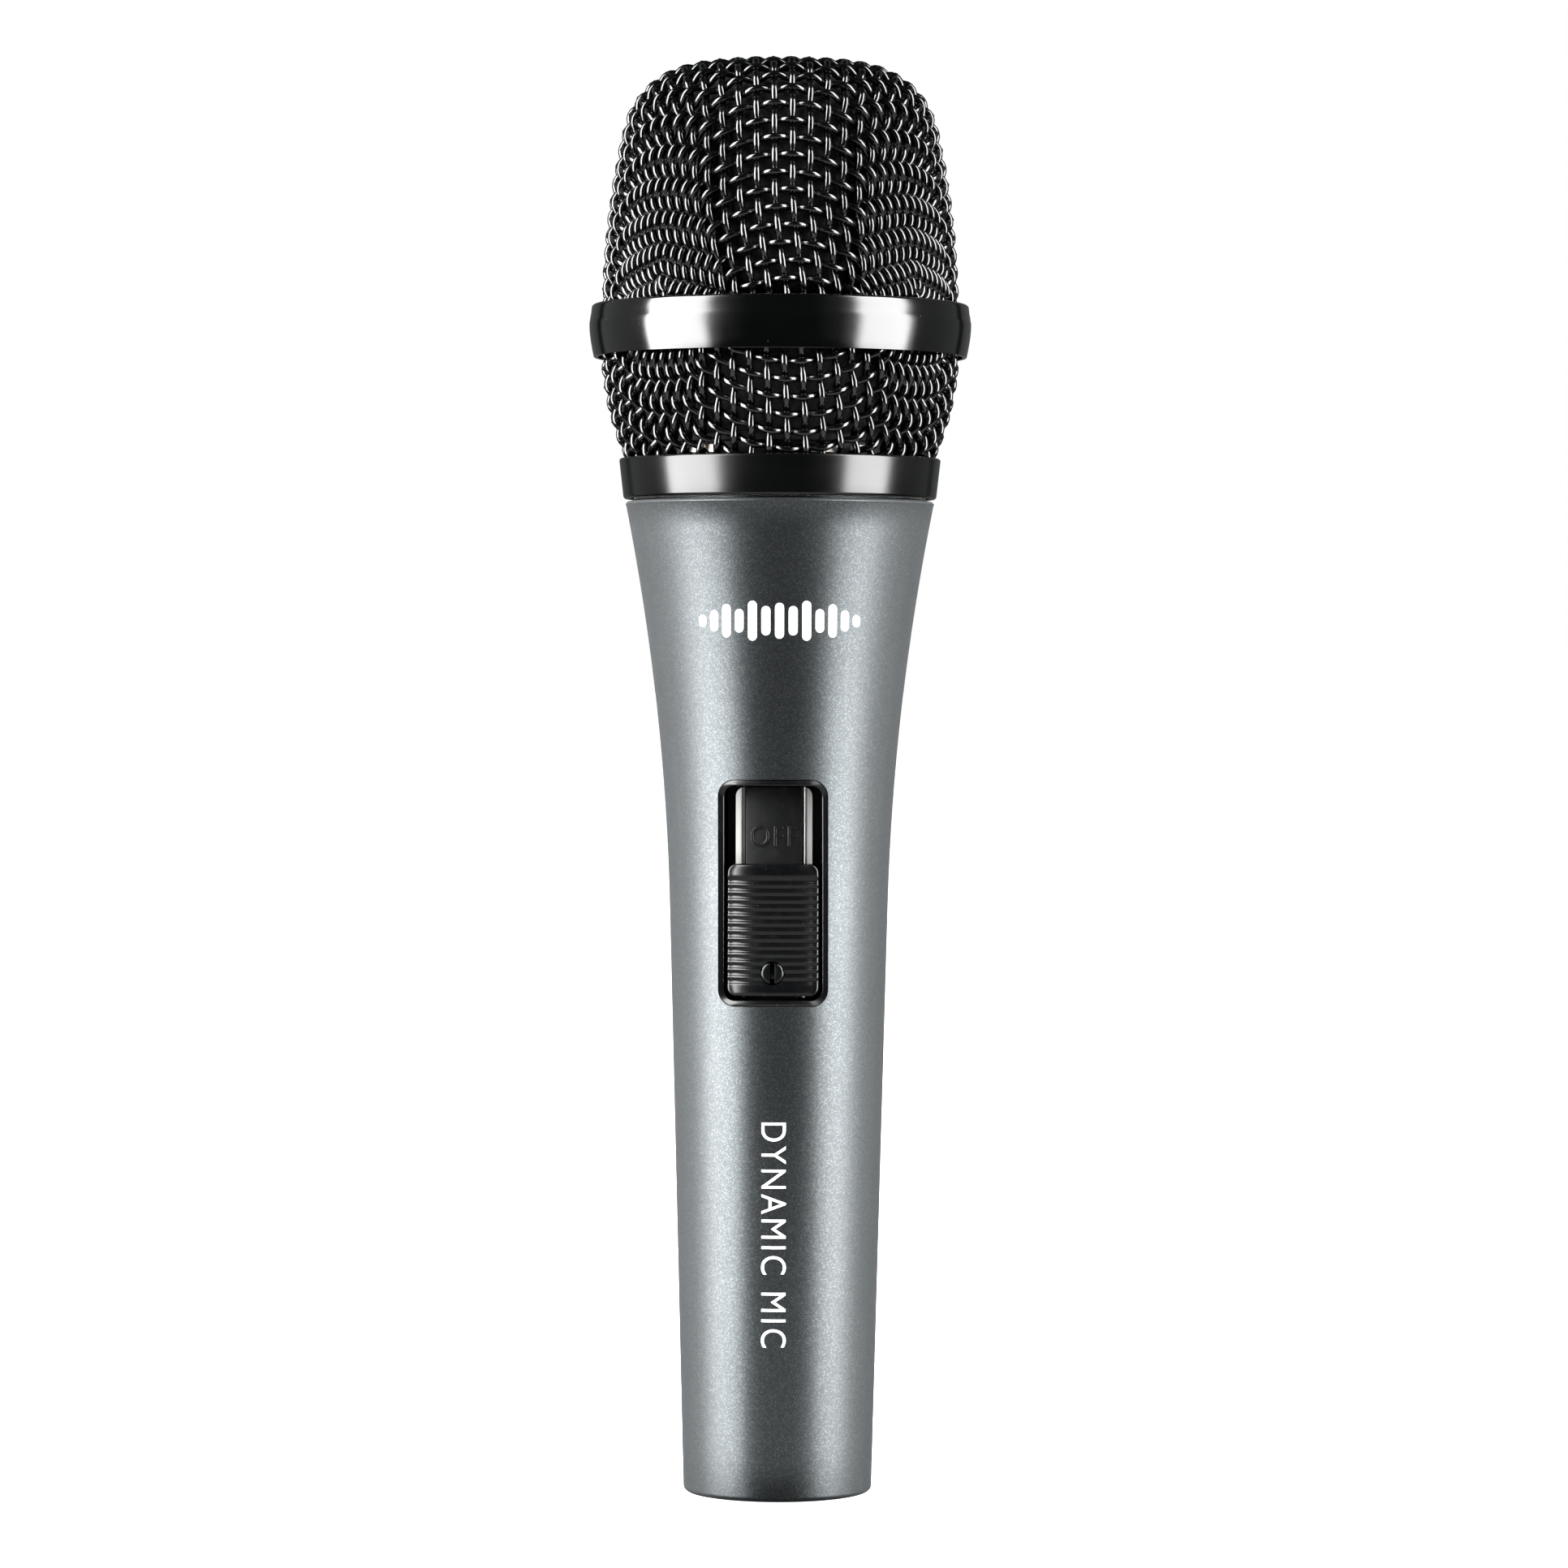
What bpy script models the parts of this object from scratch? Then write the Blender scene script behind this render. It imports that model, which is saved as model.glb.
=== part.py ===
"""Handheld dynamic microphone with a slide switch, built as the separate pieces it comes apart into.

The microphone stands on its connector end: +Z runs along its axis towards the grille, the origin is
the centre of the tail face, and the switch faces -Y. Outlines are pairs of radius and height.
"""

import math

import bmesh
import bpy
from mathutils import Matrix, Vector

MM = 0.001

# Driving dimensions, in millimetres
TOTAL_LENGTH = 180.0
BAND_RADIUS = 24.0
TAIL_RADIUS = 11.85
CONE_SLOPE = 0.0254
FLARE_START = 74.0
FLARE_RADIUS = 290.0
SHOULDER_HEIGHT = 124.6
WALL = 2.2
GAP = 0.3

# Threaded neck and the collar that screws onto it
NECK_RADIUS = 15.9
NECK_BORE = 14.0
NECK_TOP = 131.0
THREAD_BORE = NECK_RADIUS + 0.35
COLLAR_TOP = 130.0

# Grille: one woven cloth is two wires thick
CLOTH = 1.7
SIDE_ARC = (22.5, 148.0, 105.0)  # largest radius, its height, radius of the arc
SHOULDER_ARC = (9.7, 169.17, 10.4)  # centre radius, centre height, radius of the arc
CROWN_RADIUS = 120.0
BOWL_ARC = (22.6, 144.0, 34.0)
FOAM = 4.0

# Socket for the cable plug
SOCKET_RADIUS = 8.35
INSERT_FACE = 15.6
INSERT_BACK = 25.5
PIN_RADIUS = 1.2
PIN_CIRCLE = 5.1
PIN_ANGLES = (15.0, 165.0, 270.0)

# Slide switch
WINDOW_WIDTH = 13.7
WINDOW_HEIGHT = 28.2
WINDOW_CENTRE = 75.8
WINDOW_CORNER = 2.1
BEZEL_WALL = 0.65
SLIDER_HALF_WIDTH = 5.7
SLIDER_LOW = 63.0
SLIDER_HIGH = 79.4
SLIDER_CROWN = 13.35
RIB_COUNT = 14
RIB_PITCH = 0.95
RIB_DEPTH = 0.3
LOCK_SCREW_HEIGHT = 65.9
BRACKET_SCREW_HEIGHTS = (59.0, 92.3)

# Capsule
CAPSULE_RADIUS = 12.0
COIL_INNER = 6.65
COIL_OUTER = 7.15

LARGE = 48  # sides of a large round piece
MEDIUM = 32
SMALL = 16
TINY = 12

ALONG_Y = Matrix.Rotation(math.radians(90), 4, "X")  # turns +Z to -Y


def clear_scene():
    for obj in list(bpy.data.objects):
        bpy.data.objects.remove(obj)


def finish(name, colour, roughness, metallic=0.0):
    """A material with one plain surface."""
    material = bpy.data.materials.new(name)
    material.use_nodes = True
    shader = material.node_tree.nodes["Principled BSDF"]
    shader.inputs["Base Color"].default_value = (*colour, 1.0)
    shader.inputs["Roughness"].default_value = roughness
    shader.inputs["Metallic"].default_value = metallic
    return material


def pivot(name, place=(0.0, 0.0, 0.0)):
    """An empty on a joint's axis, for the pieces that move together."""
    empty = bpy.data.objects.new(name, None)
    empty.location = Vector(place) * MM
    bpy.context.scene.collection.objects.link(empty)
    return empty


def add_piece(name, bm, material, parent=None):
    """Makes an object from a bmesh in millimetres, with its origin on its parent's."""
    origin = parent.location.copy() if parent else Vector()
    bmesh.ops.transform(bm, matrix=Matrix.Diagonal((MM, MM, MM, 1)), verts=bm.verts)
    bmesh.ops.translate(bm, vec=-origin, verts=bm.verts)
    bmesh.ops.recalc_face_normals(bm, faces=bm.faces)
    mesh = bpy.data.meshes.new(name)
    bm.to_mesh(mesh)
    bm.free()
    mesh.shade_smooth()
    mesh.set_sharp_from_angle(angle=math.radians(30))
    obj = bpy.data.objects.new(name, mesh)
    bpy.context.scene.collection.objects.link(obj)
    if material:
        mesh.materials.append(material)
    if parent:
        obj.parent = parent
    return obj


def turned_shape(outline, sides, matrix=None):
    """A bmesh of an outline spun round Z. An outline that starts and ends on the axis stays open there."""
    bm = bmesh.new()
    points = [bm.verts.new((radius, 0.0, height)) for radius, height in outline]
    on_axis = outline[0][0] == 0.0 and outline[-1][0] == 0.0
    pairs = list(zip(points, points[1:]))
    if not on_axis:
        pairs.append((points[-1], points[0]))
    edges = [bm.edges.new(pair) for pair in pairs]
    bmesh.ops.spin(
        bm,
        geom=points + edges,
        cent=(0, 0, 0),
        axis=(0, 0, 1),
        angle=math.tau,
        steps=sides,
        use_merge=True,
    )
    bmesh.ops.remove_doubles(bm, verts=bm.verts, dist=1e-5)
    bmesh.ops.recalc_face_normals(bm, faces=bm.faces)
    if matrix:
        bmesh.ops.transform(bm, matrix=matrix, verts=bm.verts)
    return bm


def turned(name, outline, material, sides=MEDIUM, matrix=None, parent=None):
    return add_piece(name, turned_shape(outline, sides, matrix), material, parent)


def ring_outline(inner, outer, low, high, chamfer=0.0):
    """The outline of a plain ring, with its outer corners cut off by the chamfer."""
    if not chamfer:
        return [(inner, low), (outer, low), (outer, high), (inner, high)]
    return [
        (inner, low),
        (outer - chamfer, low),
        (outer, low + chamfer),
        (outer, high - chamfer),
        (outer - chamfer, high),
        (inner, high),
    ]


def disc_outline(radius, low, high, chamfer=0.0):
    if not chamfer:
        return [(0.0, low), (radius, low), (radius, high), (0.0, high)]
    return [
        (0.0, low),
        (radius - chamfer, low),
        (radius, low + chamfer),
        (radius, high - chamfer),
        (radius - chamfer, high),
        (0.0, high),
    ]


def rounded_rectangle(width, height, corner, steps=4):
    """Points of a rounded rectangle round the origin, anticlockwise."""
    points = []
    for quarter, (sx, sz) in enumerate(((1, 1), (-1, 1), (-1, -1), (1, -1))):
        cx = sx * (width / 2 - corner)
        cz = sz * (height / 2 - corner)
        for step in range(steps + 1):
            angle = math.radians(90) * (quarter + step / steps)
            points.append((cx + corner * math.cos(angle), cz + corner * math.sin(angle)))
    return points


def plate_shape(outline, front, back):
    """A flat plate: an outline in X and Z, between two values of Y."""
    bm = bmesh.new()
    corners = [bm.verts.new((x, front, z)) for x, z in outline]
    face = bm.faces.new(corners)
    grown = bmesh.ops.extrude_face_region(bm, geom=[face])
    moved = [item for item in grown["geom"] if isinstance(item, bmesh.types.BMVert)]
    bmesh.ops.translate(bm, vec=(0, back - front, 0), verts=moved)
    bmesh.ops.recalc_face_normals(bm, faces=bm.faces)
    return bm


def shifted(outline, dx=0.0, dz=0.0):
    return [(x + dx, z + dz) for x, z in outline]


def box_shape(low, high):
    bm = bmesh.new()
    centre = [(a + b) / 2 for a, b in zip(low, high)]
    size = [b - a for a, b in zip(low, high)]
    matrix = Matrix.Translation(centre) @ Matrix.Diagonal((*size, 1))
    bmesh.ops.create_cube(bm, size=1.0, matrix=matrix)
    return bm


def combine(obj, bm, operation):
    """Adds an exact Boolean of the object with a hidden helper made from the bmesh."""
    helper = add_piece(f"{obj.name}_{operation.lower()}", bm, None)
    helper.hide_render = True
    helper.display_type = "WIRE"
    if obj.parent:
        helper.parent = obj.parent
        helper.location = -obj.parent.location
    modifier = obj.modifiers.new(operation.title(), "BOOLEAN")
    modifier.operation = operation
    modifier.solver = "EXACT"
    modifier.object = helper


def smooth_route(points, count):
    """Evenly numbered points of a smooth curve through the given ones."""
    ends = [points[0], *points, points[-1]]
    spans = len(points) - 1
    route = []
    for index in range(count):
        place = index * spans / (count - 1)
        span = min(int(place), spans - 1)
        t = place - span
        a, b, c, d = (Vector(ends[span + k]) for k in range(4))
        route.append(
            0.5 * (2 * b + (c - a) * t + (2 * a - 5 * b + 4 * c - d) * t**2 + (3 * b - a - 3 * c + d) * t**3)
        )
    return route


def wire(name, points, radius, material, count=13):
    curve = bpy.data.curves.new(name, "CURVE")
    curve.dimensions = "3D"
    curve.bevel_depth = radius * MM
    curve.bevel_resolution = 2
    curve.use_fill_caps = True
    spline = curve.splines.new("POLY")
    route = smooth_route(points, count)
    spline.points.add(len(route) - 1)
    for point, place in zip(spline.points, route):
        point.co = (*(place * MM), 1.0)
    curve.materials.append(material)
    obj = bpy.data.objects.new(name, curve)
    bpy.context.scene.collection.objects.link(obj)


def arc_points(centre_r, centre_z, radius, start, end, steps):
    """Points on an arc, with angles in degrees measured from the outward direction."""
    points = []
    for step in range(steps + 1):
        angle = math.radians(start + (end - start) * step / steps)
        points.append((centre_r + radius * math.cos(angle), centre_z + radius * math.sin(angle)))
    return points


# ---- handle ------------------------------------------------------------------------------------


def handle_radius(height):
    """Outer radius of the handle: a cone that flares on an arc above the switch."""
    past = max(0.0, height - FLARE_START)
    return TAIL_RADIUS + CONE_SLOPE * height + past**2 / (2 * FLARE_RADIUS)


def handle_heights():
    steps = 7
    rise = SHOULDER_HEIGHT - 0.3 - FLARE_START
    return [0.6, FLARE_START] + [FLARE_START + rise * step / steps for step in range(1, steps + 1)]


def outer_handle_outline():
    edge = handle_radius(SHOULDER_HEIGHT)
    side = [(handle_radius(height), height) for height in handle_heights()]
    return [(TAIL_RADIUS - 0.6, 0.0), (TAIL_RADIUS - 0.2, 0.15), *side, (edge - 0.3, SHOULDER_HEIGHT)]


def handle_outline():
    neck = [
        (NECK_RADIUS, SHOULDER_HEIGHT),
        (NECK_RADIUS, NECK_TOP - 0.4),
        (NECK_RADIUS - 0.4, NECK_TOP),
        (NECK_BORE, NECK_TOP),
        (NECK_BORE, 111.0),
    ]
    cavity = [(handle_radius(height) - WALL - 0.5, height) for height in (102.0, 88.0)]
    cavity += [(handle_radius(height) - WALL, height) for height in (FLARE_START, 28.2)]
    socket = [(SOCKET_RADIUS, 27.6), (SOCKET_RADIUS, 0.5), (SOCKET_RADIUS + 0.5, 0.0)]
    return outer_handle_outline() + neck + cavity + socket


def build_handle(metal):
    handle = turned("handle_shell", handle_outline(), metal, LARGE)
    for height in BRACKET_SCREW_HEIGHTS:
        at_height = Matrix.Translation((0, 0, height)) @ ALONG_Y
        combine(handle, turned_shape(disc_outline(2.0, 9.9, 12.0), TINY, at_height), "UNION")
        combine(handle, turned_shape(disc_outline(1.0, 9.0, 11.4), TINY, at_height), "DIFFERENCE")
    window = shifted(rounded_rectangle(WINDOW_WIDTH, WINDOW_HEIGHT, WINDOW_CORNER), dz=WINDOW_CENTRE)
    combine(handle, plate_shape(window, -20.0, -8.0), "DIFFERENCE")
    screw_hole = Matrix.Translation((0, 0, 20.5)) @ ALONG_Y
    combine(handle, turned_shape(disc_outline(1.5, -15.0, -6.0), TINY, screw_hole), "DIFFERENCE")
    combine(handle, box_shape((-2.2, 7.0, 3.0), (2.2, 9.3, 6.5)), "DIFFERENCE")


def build_connector(plastic, contact, steel, spring):
    insert_outline = disc_outline(SOCKET_RADIUS - GAP, INSERT_FACE, INSERT_BACK, 0.3)
    insert = turned("xlr_insert", insert_outline, plastic, MEDIUM)
    pin_outline = [
        (0.0, 1.8),
        (0.7, 1.8),
        (PIN_RADIUS, 2.7),
        (PIN_RADIUS, 30.0),
        (0.8, 30.0),
        (0.8, 27.0),
        (0.0, 27.0),
    ]
    for number, angle in enumerate(PIN_ANGLES, start=1):
        x = PIN_CIRCLE * math.cos(math.radians(angle))
        y = PIN_CIRCLE * math.sin(math.radians(angle))
        place = Matrix.Translation((x, y, 0))
        hole = disc_outline(PIN_RADIUS + GAP, INSERT_FACE - 2, INSERT_BACK + 2)
        combine(insert, turned_shape(hole, TINY, place), "DIFFERENCE")
        turned(f"xlr_pin_{number}", pin_outline, contact, TINY, place)
    backwards = Matrix.Translation((0, 0, 20.5)) @ ALONG_Y.inverted()
    screw = turned("xlr_set_screw", disc_outline(1.25, 8.75, 12.1), steel, TINY, backwards)
    combine(screw, box_shape((-0.3, 11.5, 18.0), (0.3, 13.0, 23.0)), "DIFFERENCE")
    tab = [(-7.6, 25.8), (-4.2, 25.8), (-4.2, 26.1), (-7.3, 26.1), (-7.3, 29.2), (-7.6, 29.2)]
    add_piece("ground_tab", plate_shape(tab, -1.5, 0.0), spring)


# ---- switch ------------------------------------------------------------------------------------


def build_bezel(plastic):
    width = WINDOW_WIDTH - 0.4
    height = WINDOW_HEIGHT - 0.4
    outer = shifted(rounded_rectangle(width, height, WINDOW_CORNER - 0.2), dz=WINDOW_CENTRE)
    walls = 2 * BEZEL_WALL
    inner = rounded_rectangle(width - walls, height - walls, WINDOW_CORNER - 0.2 - BEZEL_WALL)
    bezel = add_piece("switch_bezel", plate_shape(outer, -16.0, -11.3), plastic)
    combine(bezel, plate_shape(shifted(inner, dz=WINDOW_CENTRE), -18.0, -9.0), "DIFFERENCE")
    skin = [(handle_radius(height) - 0.05, height) for height in (50.0, FLARE_START, 82.0, 90.0, 96.0)]
    envelope = [(0.0, 50.0), *skin, (0.0, 96.0)]
    combine(bezel, turned_shape(envelope, LARGE), "INTERSECT")


def build_bracket(bright_metal, plastic):
    """Metal channel under the slider, and the black strip between its lips."""
    low, high = 56.7, 94.6
    middle = (low + high) / 2
    base = shifted(rounded_rectangle(9.56, high - low, 1.0, 2), dz=middle)
    bracket = add_piece("switch_bracket", plate_shape(base, -9.6, -9.0), bright_metal)
    for side in (-1, 1):
        inner, outer = sorted((side * 3.75, side * 4.15))
        combine(bracket, box_shape((inner, -10.4, 62.9), (outer, -9.3, 88.9)), "UNION")
    for height in BRACKET_SCREW_HEIGHTS:
        at_height = Matrix.Translation((0, 0, height)) @ ALONG_Y
        combine(bracket, turned_shape(disc_outline(1.1, 8.0, 11.0), TINY, at_height), "DIFFERENCE")
    strip = shifted(rounded_rectangle(6.9, 26.0, 0.4, 1), dz=75.9)
    add_piece("label_strip", plate_shape(strip, -10.7, -9.9), plastic)


def build_switch_board(board_material, brass, steel):
    outline = shifted(rounded_rectangle(12.0, 37.6, 0.8, 1), dz=75.6)
    board = add_piece("switch_board", plate_shape(outline, -6.0, -4.8), board_material)
    for label, height in zip(("lower", "upper"), BRACKET_SCREW_HEIGHTS):
        at_height = Matrix.Translation((0, 0, height)) @ ALONG_Y
        combine(board, turned_shape(disc_outline(1.1, 3.0, 8.0), TINY, at_height), "DIFFERENCE")
        turned(f"spacer_{label}", ring_outline(1.1, 1.9, 6.3, 8.7), brass, TINY, at_height)
        screw_outline = [(0.0, 3.4), (1.5, 3.4), (1.5, 4.5), (0.75, 4.5), (0.75, 11.1), (0.0, 11.1)]
        screw = turned(f"bracket_screw_{label}", screw_outline, steel, TINY, at_height)
        combine(screw, box_shape((-2.0, -3.9, height - 0.25), (2.0, -3.0, height + 0.25)), "DIFFERENCE")


def slider_section(crown):
    """Cross-section of the slider cap in X and Y: a crowned top on two skirts."""
    half = SLIDER_HALF_WIDTH
    top = []
    steps = 6
    for step in range(steps + 1):
        x = half - 2 * half * step / steps
        top.append((x, -math.sqrt(crown**2 - x**2)))
    return [(half, -8.9), *top, (-half, -8.9), (-5.0, -8.9), (-5.0, -11.0), (5.0, -11.0), (5.0, -8.9)]


def slider_stations():
    """Heights up the slider, each with how far its top lies under the full crown."""
    middle = (SLIDER_LOW + SLIDER_HIGH) / 2
    first = middle - RIB_PITCH * RIB_COUNT / 2
    stations = [(SLIDER_LOW, 0.7), (SLIDER_LOW + 0.5, 0.1), (SLIDER_LOW + 1.0, 0.0)]
    for rib in range(RIB_COUNT):
        stations.append((first + RIB_PITCH * (rib + 0.25), RIB_DEPTH))
        stations.append((first + RIB_PITCH * (rib + 0.75), 0.0))
    return stations + [(SLIDER_HIGH - 0.5, 0.1), (SLIDER_HIGH, 0.7)]


def build_slider(plastic, carrier_plastic, bronze, steel, pivots):
    bm = bmesh.new()
    loops = []
    for height, drop in slider_stations():
        loop = [bm.verts.new((x, y, height)) for x, y in slider_section(SLIDER_CROWN - drop)]
        loops.append([bm.edges.new((a, b)) for a, b in zip(loop, loop[1:] + loop[:1])])
    for lower, upper in zip(loops, loops[1:]):
        bmesh.ops.bridge_loops(bm, edges=lower + upper)
    for end in (loops[0], loops[-1]):
        bmesh.ops.contextual_create(bm, geom=end)
    slider = add_piece("slider_cap", bm, plastic, pivots["slider"])
    at_screw = Matrix.Translation((0, 0, LOCK_SCREW_HEIGHT)) @ ALONG_Y
    hole = [(0.0, 10.0), (1.05, 10.0), (1.05, 12.15), (1.6, 12.15), (1.6, 15.0), (0.0, 15.0)]
    combine(slider, turned_shape(hole, SMALL, at_screw), "DIFFERENCE")

    screw_outline = [(0.0, 11.15), (0.75, 11.15), (0.75, 12.45), (1.35, 12.45), (1.35, 13.3), (0.0, 13.3)]
    screw = turned("lock_screw", screw_outline, steel, SMALL, at_screw, pivots["lock"])
    slot_low = (-0.35, -14.0, LOCK_SCREW_HEIGHT - 2)
    slot_high = (0.35, -12.75, LOCK_SCREW_HEIGHT + 2)
    combine(screw, box_shape(slot_low, slot_high), "DIFFERENCE")

    carriage_outline = shifted(rounded_rectangle(2 * SLIDER_HALF_WIDTH, 10.0, 0.8, 2), dz=71.2)
    add_piece("slide_carriage", plate_shape(carriage_outline, -8.6, -7.4), carrier_plastic, pivots["slider"])
    wiper = [(-7.1, 67.7), (-6.8, 67.7), (-6.8, 68.6), (-6.4, 69.4), (-6.8, 70.2), (-6.8, 72.2), (-6.4, 73.0)]
    wiper += [(-6.8, 73.8), (-6.8, 74.7), (-7.1, 74.7)]
    bm = bmesh.new()
    face = bm.faces.new([bm.verts.new((-2.5, y, z)) for y, z in wiper])
    grown = bmesh.ops.extrude_face_region(bm, geom=[face])
    moved = [item for item in grown["geom"] if isinstance(item, bmesh.types.BMVert)]
    bmesh.ops.translate(bm, vec=(5.0, 0, 0), verts=moved)
    add_piece("contact_wiper", bm, bronze, pivots["slider"])


# ---- capsule -----------------------------------------------------------------------------------


def diaphragm_outline():
    """A thin dome with a rolled surround, as one closed sheet 0.25 mm thick."""
    thickness = 0.25
    rim, dome_edge, dome_rise = 11.6, 6.9, 1.5
    profile = []
    steps = 5
    for step in range(steps + 1):
        radius = dome_edge * step / steps
        profile.append((radius, 156.4 + dome_rise * (1 - (radius / dome_edge) ** 2)))
    profile += [(8.1, 156.8), (9.3, 156.9), (10.4, 156.45), (rim, 156.4)]
    upper = [(radius, height + thickness) for radius, height in reversed(profile)]
    return profile + upper


def build_capsule(finishes, coil_pivot):
    housing = [
        (10.9, 134.3),
        (CAPSULE_RADIUS, 134.3),
        (CAPSULE_RADIUS, 153.4),
        (13.2, 154.0),
        (13.2, 155.2),
        (10.9, 155.2),
        (10.9, 147.3),
        (8.7, 147.3),
        (8.7, 146.3),
        (10.9, 146.3),
    ]
    turned("capsule_housing", housing, finishes["plastic"], MEDIUM)
    cap = [(0.0, 159.0), (10.6, 159.0), (10.6, 157.1), (12.6, 157.1), (12.6, 155.6), (13.2, 155.6)]
    cap += [(13.2, 159.5), (12.7, 160.0), (0.0, 160.0)]
    front_cap = turned("capsule_front_cap", cap, finishes["plastic"], MEDIUM)
    combine(front_cap, turned_shape(disc_outline(1.6, 158.0, 161.0), TINY), "DIFFERENCE")
    for index in range(6):
        angle = math.radians(60 * index)
        place = Matrix.Translation((6.4 * math.cos(angle), 6.4 * math.sin(angle), 0))
        combine(front_cap, turned_shape(disc_outline(2.1, 158.0, 161.0), TINY, place), "DIFFERENCE")
    turned("capsule_screen", disc_outline(12.0, 160.3, 160.6), finishes["cloth"], 24)
    turned("diaphragm_ring", ring_outline(10.3, 12.2, 155.5, 156.0), finishes["brass"], 24)
    turned("diaphragm", diaphragm_outline(), finishes["film"], 24, parent=coil_pivot)
    coil_outline = ring_outline(COIL_INNER, COIL_OUTER, 151.5, 156.0)
    turned("voice_coil", coil_outline, finishes["copper"], 24, parent=coil_pivot)
    turned("top_plate", disc_outline(6.2, 152.7, 154.5), finishes["steel"], 24)
    turned("magnet", disc_outline(5.4, 149.4, 152.4), finishes["bright"], 24)
    yoke = [(0.0, 147.6), (8.4, 147.6), (8.4, 154.6), (7.6, 154.6), (7.6, 149.1), (0.0, 149.1)]
    turned("yoke_cup", yoke, finishes["steel"], 24)
    turned("magnet_carrier", ring_outline(8.8, 10.5, 147.9, 151.0), finishes["plastic"], 24)
    turned("felt_ring", ring_outline(8.8, 10.5, 151.3, 152.1), finishes["felt"], 24)
    chamber = [(0.0, 134.5), (10.6, 134.5), (10.6, 146.0), (9.7, 146.0), (9.7, 135.4), (0.0, 135.4)]
    turned("rear_chamber", chamber, finishes["plastic"], 24)
    turned("terminal_board", disc_outline(9.6, 132.9, 134.1), finishes["board"], 24)
    for label, x in (("hot", -4.0), ("cold", 4.0)):
        lug_outline = disc_outline(0.7, 131.2, 132.6)
        turned(f"solder_lug_{label}", lug_outline, finishes["brass"], 8, Matrix.Translation((x, 0, 0)))


def build_capsule_mount(rubber, foam):
    mount = [
        (12.4, 126.5),
        (13.6, 126.5),
        (13.6, 131.3),
        (15.6, 131.3),
        (15.6, 132.8),
        (14.0, 133.8),
        (14.0, 136.0),
        (14.7, 137.0),
        (14.7, 139.0),
        (12.3, 139.0),
        (12.3, 134.0),
        (10.5, 134.0),
        (10.5, 132.9),
        (12.4, 131.4),
    ]
    turned("shock_mount", mount, rubber, MEDIUM)
    turned("neck_seal", ring_outline(3.2, 13.7, 121.0, 124.5), foam, MEDIUM)


def build_wires(red, black, white, bare):
    for label, side, material in (("hot", -1, red), ("cold", 1, black)):
        points = [(side * 4.0, 0, 130.8), (side * 3.4, 0, 128.0), (side * 1.3, 0, 124.0)]
        points += [(side * 1.2, 0, 120.0), (side * 1.6, -0.5, 108.0), (side * 2.4, -1.2, 97.0)]
        points += [(side * 2.5, -2.2, 91.5), (side * 2.5, -4.3, 89.5)]
        wire(f"capsule_wire_{label}", points, 0.5, material, 16)
    ends = [
        (PIN_CIRCLE * math.cos(math.radians(angle)), PIN_CIRCLE * math.sin(math.radians(angle)))
        for angle in PIN_ANGLES
    ]
    starts = (("ground", 3.0, bare), ("hot", -3.0, red), ("cold", 0.0, white))
    for (label, x, material), (end_x, end_y) in zip(starts, ends):
        points = [(x, -4.3, 63.0), (x, -2.4, 60.5), (x * 0.8, -1.2, 52.0), (end_x * 0.6, end_y * 0.6, 40.0)]
        points += [(end_x, end_y, 33.5), (end_x, end_y, 30.4)]
        wire(f"output_wire_{label}", points, 0.5, material, 13)


# ---- grille ------------------------------------------------------------------------------------


def dome_outline(inset, low):
    """From a height up the side, over the shoulder and the crown, at an inset from the crests."""
    top_radius, middle, side_radius = SIDE_ARC
    shoulder_r, shoulder_z, shoulder_radius = SHOULDER_ARC
    side_centre = top_radius - side_radius
    start = math.degrees(math.asin((low - middle) / (side_radius - inset)))
    meet = math.degrees(math.atan2(shoulder_z - middle, shoulder_r - side_centre))
    crown_z = TOTAL_LENGTH - CROWN_RADIUS
    crown = math.degrees(math.atan2(shoulder_z - crown_z, shoulder_r))
    side = arc_points(side_centre, middle, side_radius - inset, start, meet, 3)
    bend = arc_points(shoulder_r, shoulder_z, shoulder_radius - inset, meet, crown, 4)
    top = arc_points(0.0, crown_z, CROWN_RADIUS - inset, crown, 90.0, 2)
    top[-1] = (0.0, TOTAL_LENGTH - inset)
    return side + bend[1:] + top[1:]


def bowl_radius(height, inset=0.0):
    largest, middle, radius = BOWL_ARC
    inner = radius - inset
    return largest - radius + math.sqrt(inner**2 - (middle - height) ** 2)


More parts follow.
